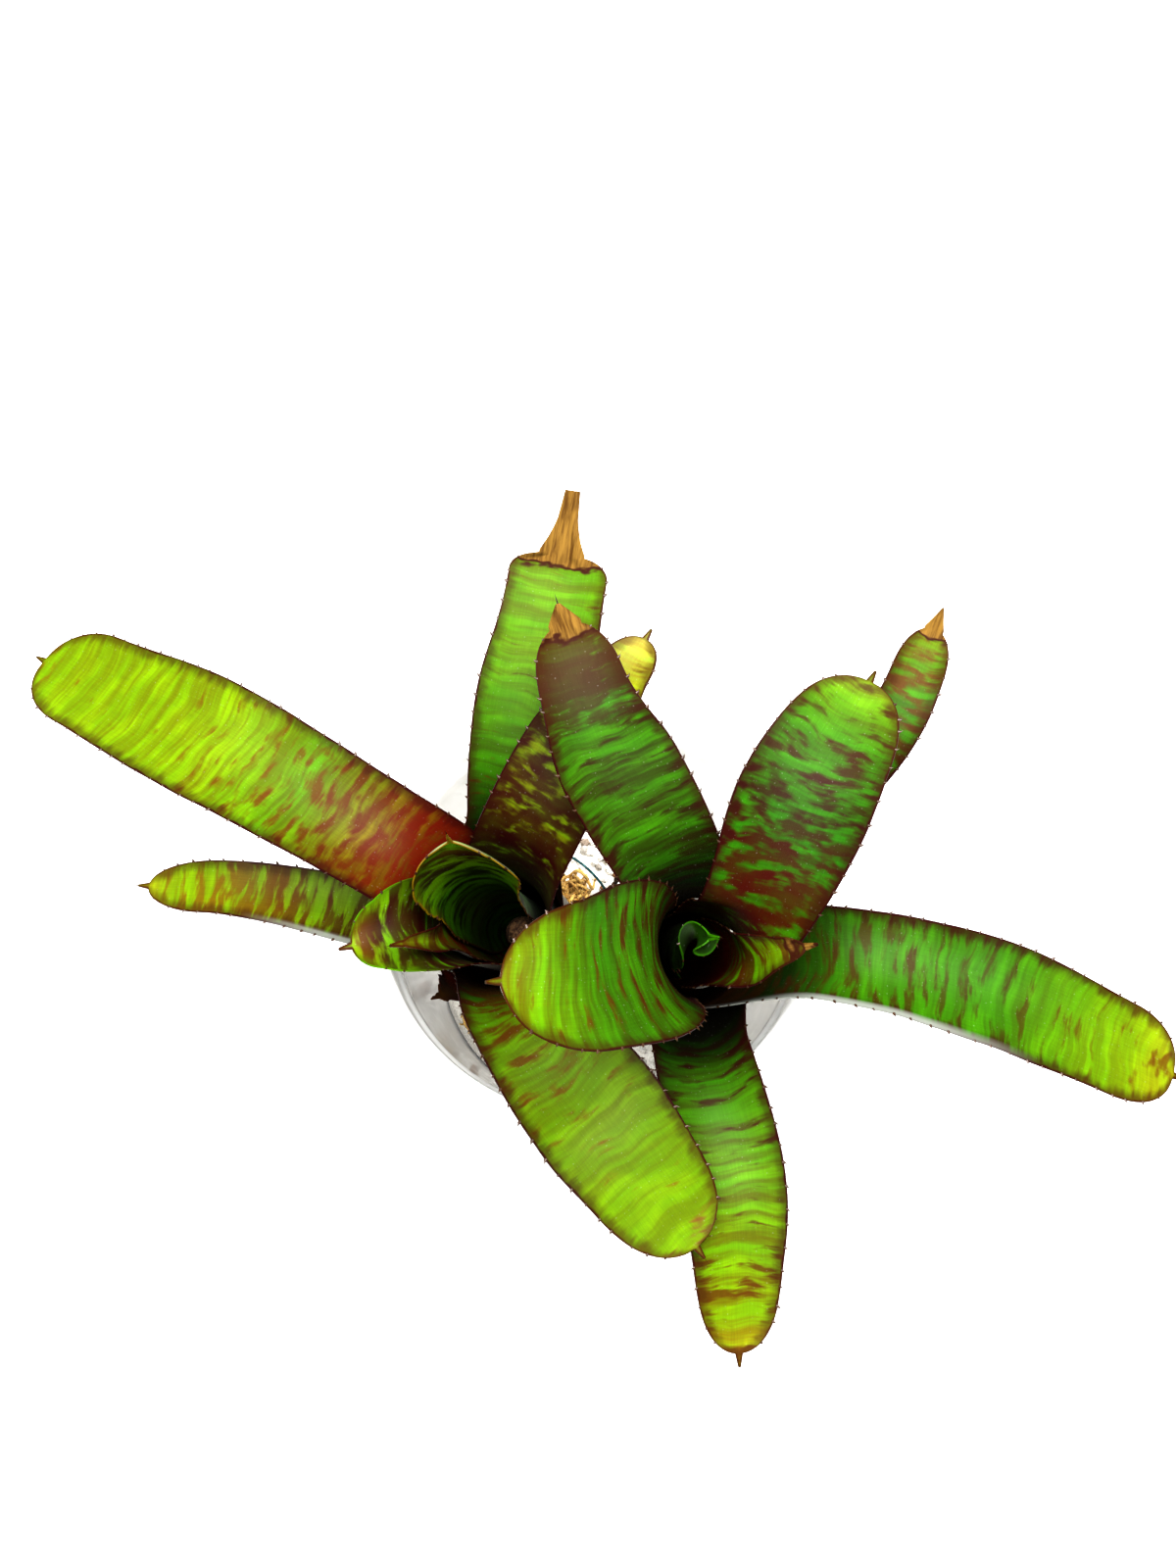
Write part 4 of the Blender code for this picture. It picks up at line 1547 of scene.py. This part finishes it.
        Slot.BANDED, 0.6, 105, mucro=1.3,
    ),
    # The heart's near black, deep in the middle of the rosette, is partly its own colour and partly painted
    # shade
    Leaf(
        "right_leaf_heart", "right", 140, 7.6, 66, 118,
        ((21.5, -23.4, 130), (23.4, -25.6, 138), (26, -27, 142)), (19, 16, 11), (105, 85, 70, 60),
        LeafLook(
            ((-0.1, INK_AND_CUP_SHADE), (0.5, BOTTLE)),
            ((-1, 0.7), (0.2, 0.6), (0.8, 0.5), (1, 0.3)),
            blotch=((-1, 0.3), (1, 0.6)),
            band=steady(INK_AND_CUP_SHADE),
            hem=((-1, INK_AND_CUP_SHADE), (0.5, BOTTLE), (1, GREEN)), stain=((-1, 0.1), (1, 0.2)), dust=0,
        ),
        Slot.YOUNG, 0.6, 110,
    ),
)


# Pot and what it holds


@dataclass
class Pot:
    """The round pot: a tapered wall with a stepped neck and a rolled rim."""

    foot_radius: float = 43.0
    wall: float = 2.6
    floor: float = 4.0
    rim_height: float = 95.0
    crest_radius: float = 61.0
    outer_radius: float = 63.9
    inner_edge: float = 58.5
    rim_depth: float = 6.0
    overhang: float = 4.4
    segments: int = 192

    def corners(self) -> list[tuple[float, float, float]]:
        """The outline's corners, from the foot's middle round to the floor's.

        Returns:
            One (radius, height, rounding) for each corner.
        """
        neck = self.rim_height - self.rim_depth
        shoulder = self.outer_radius - self.overhang
        bore = self.foot_radius - self.wall
        return [
            (0, 0, 0), (self.foot_radius - 4, 0, 0.5), (self.foot_radius - 5, 0.8, 0.5),
            (self.foot_radius - 2, 0.8, 0.4), (self.foot_radius - 1.5, 0, 0.5), (self.foot_radius, 1.5, 1.2),
            (shoulder, neck - 9, 2.0), (shoulder + 0.4, neck - 5, 1.2),
            (self.outer_radius - 0.4, neck - 3, 1.2), (self.outer_radius, neck, 1.5),
            (self.crest_radius + 2.2, self.rim_height - 1.4, 1.4), (self.crest_radius, self.rim_height, 1.6),
            (self.crest_radius - 1.9, self.rim_height - 1.3, 1.2),
            (self.inner_edge, neck, 1.0), (self.inner_edge - 1.4, neck - 2, 1.2),
            (shoulder - self.wall, neck - 9, 2.5),
            (bore + 1, self.floor + 3, 2.5), (bore - 2, self.floor, 2.0), (0, self.floor, 0),
        ]

    def profile(self) -> Array:
        """The outline with each corner replaced by a parabola.

        The parabola starts and ends the rounding's length from the corner, or 0.45 of the shorter
        side next to it: (1 - s)^2 before + 2 s (1 - s) corner + s^2 after.

        Returns:
            Rows of radius and height.
        """
        rows = np.array(self.corners())
        p, reach = rows[:, :2], rows[1:-1, 2:]
        back, on = p[:-2] - p[1:-1], p[2:] - p[1:-1]
        lengths = np.stack([np.linalg.norm(back, axis=1), np.linalg.norm(on, axis=1)], -1)
        cut = np.minimum(reach, 0.45 * lengths.min(1, keepdims=True))
        before, after = p[1:-1] + unit(back) * cut, p[1:-1] + unit(on) * cut
        s = np.linspace(0, 1, 7)[:, None, None]
        bends = (1 - s) ** 2 * before + 2 * s * (1 - s) * p[1:-1] + s**2 * after
        return np.vstack([p[:1], np.moveaxis(bends, 0, 1).reshape(-1, 2), p[-1:]])

    def inner_radius(self, height: float) -> float:
        """Radius of the inner wall between the floor and the neck.

        Args:
            height: height between them.

        Returns:
            The radius.
        """
        low, high = self.floor + 3, self.rim_height - self.rim_depth - 9
        narrow = self.foot_radius - self.wall + 1.0
        wide = self.outer_radius - self.overhang - self.wall
        return narrow + (wide - narrow) * (height - low) / (high - low)

    def build(self, gloss: Material) -> Piece:
        """The pot as a piece."""
        return make_piece("pot_shell", lathe(self.profile(), self.segments), [gloss], ["pot"], 40.0)


def pebble_form() -> tuple[Array, Array]:
    """A body with twelve corners and twenty equal faces, its corners about 1 from its middle.

    The corners are (1, gold, 0) with either sign, gold being the golden ratio, and the same in the
    two other planes. Three corners that lie one edge apart make a face.

    Returns:
        The corners, and one row of three point numbers for each face.
    """
    gold = (1 + 5**0.5) / 2
    corner = np.array([(-1, gold, 0), (1, gold, 0), (-1, -gold, 0), (1, -gold, 0)], float)
    body = np.vstack([corner, np.roll(corner, 1, 1), np.roll(corner, 2, 1)]) / 1.9
    near = np.linalg.norm(body[:, None] - body, axis=2) < 1.12
    faces = np.array([t for t in combinations(range(12), 3) if near[np.ix_(t, t)].all()])
    a, b, c = body[faces.T]
    flipped = np.einsum("ij,ij->i", np.cross(b - a, c - a), a + b + c) < 0
    faces[flipped] = faces[flipped][:, ::-1]
    return body, faces


@dataclass
class Bed:
    """The bed of coarse grit in the pot: a plug, and loose grains that cover its top."""

    top: float = 45.7
    grain_step: float = 3.1
    grain_radius: tuple[float, float] = (1.2, 2.5)
    share_doubled: float = 0.45
    seed: int = 11

    def grains(self, radius: float, keep_clear: Array) -> Shape:
        """Crushed grains on a jittered grid, each a twenty-faced body stretched and turned at random.

        Args:
            radius: how far from the middle they lie.
            keep_clear: rows of x, y, radius where none lies.

        Returns:
            The grains, with a value "rod" from 0 to 1 that differs between them.
        """
        rng = np.random.default_rng(self.seed)
        line = np.arange(-radius, radius, self.grain_step)
        x, y = (a.ravel() for a in np.meshgrid(line, line))
        place = np.stack([x, y], -1) + rng.uniform(-1.2, 1.2, (len(x), 2))
        place = np.vstack([place, place[rng.random(len(place)) < self.share_doubled] + rng.uniform(-2, 2, 2)])
        far = np.linalg.norm(place[:, None] - keep_clear[:, :2], axis=2) > keep_clear[:, 2]
        place = place[(np.linalg.norm(place, axis=1) < radius) & far.all(1)]
        count = len(place)
        body, triples = pebble_form()
        low, high = self.grain_radius
        size = low + (high - low) * rng.random(count) ** 2.2
        stretch = rng.uniform(0.65, 1.15, (count, 1, 3)) * size[:, None, None]
        turn = np.linalg.qr(rng.normal(size=(count, 3, 3)))[0]
        turn *= np.linalg.det(turn)[:, None, None]
        rough = body * rng.uniform(0.82, 1.12, (count, 12, 1)) * stretch
        points = np.einsum("nij,nkj->nki", turn, rough)
        height = self.top - 0.2 + rng.uniform(0.0, 1.0, count)
        points += np.column_stack([place, height])[:, None]
        faces = (triples + (np.arange(count) * 12)[:, None, None]).reshape(-1, 3)
        return Shape(points.reshape(-1, 3), [faces], values={"rod": np.repeat(rng.random(count), 12)})

    def build(self, pot: Pot, keep_clear: Array, stone: Material) -> Piece:
        """The bed as a piece.

        Args:
            pot: the pot that holds it.
            keep_clear: rows of x, y, radius where no grain lies.
            stone: its material.

        Returns:
            The piece.
        """
        low = pot.floor + 3
        wall = pot.inner_radius
        profile = np.array(
            [
                (0, pot.floor + 0.3), (wall(low) - 3.3, pot.floor + 0.3), (wall(low) - 0.5, low + 0.3),
                (wall(self.top - 3) - 0.5, self.top - 3), (wall(self.top) - 2.5, self.top - 1),
                (38, self.top - 0.4), (0, self.top - 0.4),
            ]
        )
        plug = lathe(profile, 96)
        plug.values["rod"] = np.full(len(plug.points), 0.1)
        grains = self.grains(wall(self.top) - 2.2, keep_clear)
        return make_piece("grit_bed", Shape.join([plug, grains]), [stone], ["growing_medium"], None)


@dataclass
class MossTuft:
    """A tuft of dry moss: thin strands that rise, spread and curl.

    Each strand runs from the tuft's middle outwards on an arc, with a coil round it:
    middle + reach s out + height sin(pi s (1 - droop / 2)) up + curl (cos, sin)(turns s + lag).
    """

    node: str
    middle: tuple[float, float]
    reach: float
    height: float
    strands: int
    seed: int
    foot: float = 45.9

    def build(self, strand: Material) -> Piece:
        """The tuft as a piece.

        Args:
            strand: its material.

        Returns:
            The piece.
        """
        rng = np.random.default_rng(self.seed)
        count = self.strands
        s = np.linspace(0, 1, 46)[None, :, None]
        angle = rng.uniform(0, 2 * pi, count)
        out = np.stack([np.cos(angle), 0.8 * np.sin(angle), 0 * angle], -1)[:, None]
        reach = (self.reach * rng.uniform(0.35, 0.95, count))[:, None, None]
        rise = (self.height * rng.uniform(0.3, 1.0, count))[:, None, None]
        curl = (rng.uniform(1.0, 2.6, count))[:, None, None]
        turns = rng.uniform(0.8, 2.2, count)[:, None, None] * 2 * pi
        lag = rng.uniform(0, 2 * pi, count)[:, None, None]
        side = np.stack([-np.sin(angle), np.cos(angle), 0 * angle], -1)[:, None]
        droop = rng.uniform(0.2, 0.9, count)[:, None, None]
        start = rng.uniform(-0.3, 0.3, (count, 1, 3)) * [self.reach, self.reach, 0]
        path = start + out * reach * s + UP * rise * np.sin(pi * s * (1 - 0.5 * droop))
        grow = np.minimum(1, 4 * s)
        path = path + curl * grow * (side * np.cos(turns * s + lag) + UP * np.sin(turns * s + lag))
        path = path + np.array([*self.middle, self.foot + 1.0])
        path[..., 2] = np.maximum(path[..., 2], self.foot + 0.35)
        radii = rng.uniform(0.35, 0.75, (count, 1)) * (1.05 - 0.6 * s[0, :, 0] ** 2)
        return make_piece(f"{self.node}_tuft", tubes(path, radii, 6), [strand], [self.node])


@dataclass
class LooseThings:
    """The dead twig and the wire hoop that stick out of the bed."""

    bed_top: float = 45.7
    wire_radius: float = 0.38
    wire_middle: tuple[float, float] = (-4.75, 22.75)
    wire_half_span: tuple[float, float] = (-9.25, 7.25)
    wire_rise: float = 16.5

    def build_twig(self, bark: Material) -> Piece:
        """The twig: knots swell it at random, r (0.95 + 0.22 noise), and it tapers to its broken end.

        Args:
            bark: its material.

        Returns:
            The piece.
        """
        at = np.linspace(0, 1, 60)
        start = (5, 20, self.bed_top + 0.5)
        bends = [(5.6, 18.8, 52), (6.6, 18, 60), (7.4, 18.3, 67), (6.6, 19.6, 72)]
        path = curve_through([(4.6, 20.4, 40), start, *bends], at)
        radii = (1.1 - 0.5 * at) * (0.95 + 0.22 * smooth_noise(5, at, 0.06))
        return make_piece("twig_bark", tubes(path[None], radii[None], 14), [bark], ["twig"])

    def build_wire(self, coat: Material) -> Piece:
        """The wire: half a turn, with both ends at the bed.

        Args:
            coat: its material.

        Returns:
            The piece.
        """
        arc = np.linspace(0, pi, 90)
        (x, y), (dx, dy) = self.wire_middle, self.wire_half_span
        height = self.bed_top + 0.3 + self.wire_rise * np.sin(arc)
        path = np.stack([x + dx * np.cos(arc), y + dy * np.cos(arc), height], -1)
        shape = tubes(path[None], np.full((1, 90), self.wire_radius), 12)
        return make_piece("wire_hoop_coat", shape, [coat], ["wire_hoop"])


# Studio


@dataclass(frozen=True)
class SoftLight:
    """A square soft light: its place and side in metres, and its power in watts."""

    name: str
    place: Triple
    size: float
    power: float

    def build(self, target: Triple) -> None:
        """Hangs the light in the scene and turns it to face the target.

        Args:
            target: the point that it faces.
        """
        lamp = bpy.data.lights.new(self.name, "AREA")
        lamp.shape = "SQUARE"
        lamp.size = self.size
        lamp.energy = self.power
        obj = bpy.data.objects.new(self.name, lamp)
        obj.location = self.place
        aim = unit(np.array(target) - np.array(self.place))
        obj.rotation_euler = Vector(aim).to_track_quat("-Z", "Y").to_euler()
        bpy.context.scene.collection.objects.link(obj)


@dataclass
class Studio:
    """Plain pale floor, soft lights and the camera above the plant, in metres and degrees."""

    camera_place: Triple = (-0.0023, -0.1115, 0.405)
    camera_tilt: float = 25.2
    lens: float = 27.2
    floor_size: float = 6.0
    floor_grey: float = 0.56
    surround: float = 0.66
    view_gamma: float = 0.72
    target: Triple = (0.0, -0.02, 0.1)
    lights: tuple[SoftLight, ...] = (
        SoftLight("window_light", (-0.6, -0.5, 1.2), 0.9, 13.0),
        SoftLight("overhead_light", (0.1, 0.05, 1.4), 1.2, 90.0),
    )

    def build_floor(self) -> None:
        """A flat square floor, not part of the object."""
        half = self.floor_size / 2
        corners = [(-half, -half, 0), (half, -half, 0), (half, half, 0), (-half, half, 0)]
        mesh = bpy.data.meshes.new("studio_floor")
        mesh.from_pydata(corners, [], [(0, 1, 2, 3)])
        floor = bpy.data.objects.new("studio_floor", mesh)
        bpy.context.scene.collection.objects.link(floor)
        look = Shading("studio_floor", 0.8)
        look.put(look.shader.inputs["Base Color"], (self.floor_grey, self.floor_grey, self.floor_grey))
        mesh.materials.append(look.material)

    def build_world(self) -> None:
        """An even white surround."""
        world = bpy.data.worlds.new("studio_white")
        world.use_nodes = True
        background = world.node_tree.nodes["Background"]
        background.inputs["Color"].default_value = (1, 1, 1, 1)
        background.inputs["Strength"].default_value = self.surround
        bpy.context.scene.world = world

    def build_camera(self) -> None:
        """The camera, looking steeply down from just in front of the pot."""
        data = bpy.data.cameras.new("studio_camera")
        data.lens = self.lens
        data.sensor_width = 36.0
        data.clip_start = 0.01
        camera = bpy.data.objects.new("studio_camera", data)
        camera.location = self.camera_place
        camera.rotation_euler = (radians(self.camera_tilt), 0, 0)
        bpy.context.scene.collection.objects.link(camera)
        bpy.context.scene.camera = camera

    def build(self) -> None:
        """Floor, lights, surround and camera."""
        self.build_floor()
        for light in self.lights:
            light.build(self.target)
        self.build_world()
        self.build_camera()
        view = bpy.context.scene.view_settings
        view.view_transform = "Standard"
        view.gamma = self.view_gamma


TUFTS: tuple[MossTuft, ...] = (
    MossTuft("moss_middle", (-7.0, 17.5), 8.5, 9.0, 60, 3),
    MossTuft("moss_left", (-33.0, -24.5), 7.0, 4.0, 36, 4),
)
STEM_BARK = Bark("stem_bark", (0.07, 0.03, 0.012), (0.30, 0.17, 0.08))
TWIG_BARK = Bark("twig_bark", (0.02, 0.010, 0.005), (0.14, 0.075, 0.04))


def main() -> None:
    """Builds every piece in order, then the studio."""
    logging.basicConfig(level=logging.INFO, format="%(name)s: %(message)s")
    pot = Pot()
    rosettes = Rosettes()
    pot.build(PotGloss().build())
    feet = [[*rosettes.axis_at(side, rosettes.stem_foot)[:2], rosettes.clear_radius] for side in SIDES]
    Bed().build(pot, np.array(feet), GritStone().build())
    strand = MossStrand().build()
    for tuft in TUFTS:
        tuft.build(strand)
    stem_bark = STEM_BARK.build()
    for side in SIDES:
        rosettes.build_stem(side, stem_bark)
    rosettes.build_runner(stem_bark)
    loose = LooseThings()
    loose.build_twig(TWIG_BARK.build())
    loose.build_wire(CoatedWire().build())
    skins = LeafSkins(
        LeafSkin("leaf_upper_skin").build(),
        LeafSkin("leaf_lower_skin", underside=True, roughness=0.6).build(),
        SpineHorn().build(),
    )
    for leaf in LEAVES:
        rosettes.build_leaf(leaf, skins)
    Studio().build()


if __name__ == "__main__":
    main()
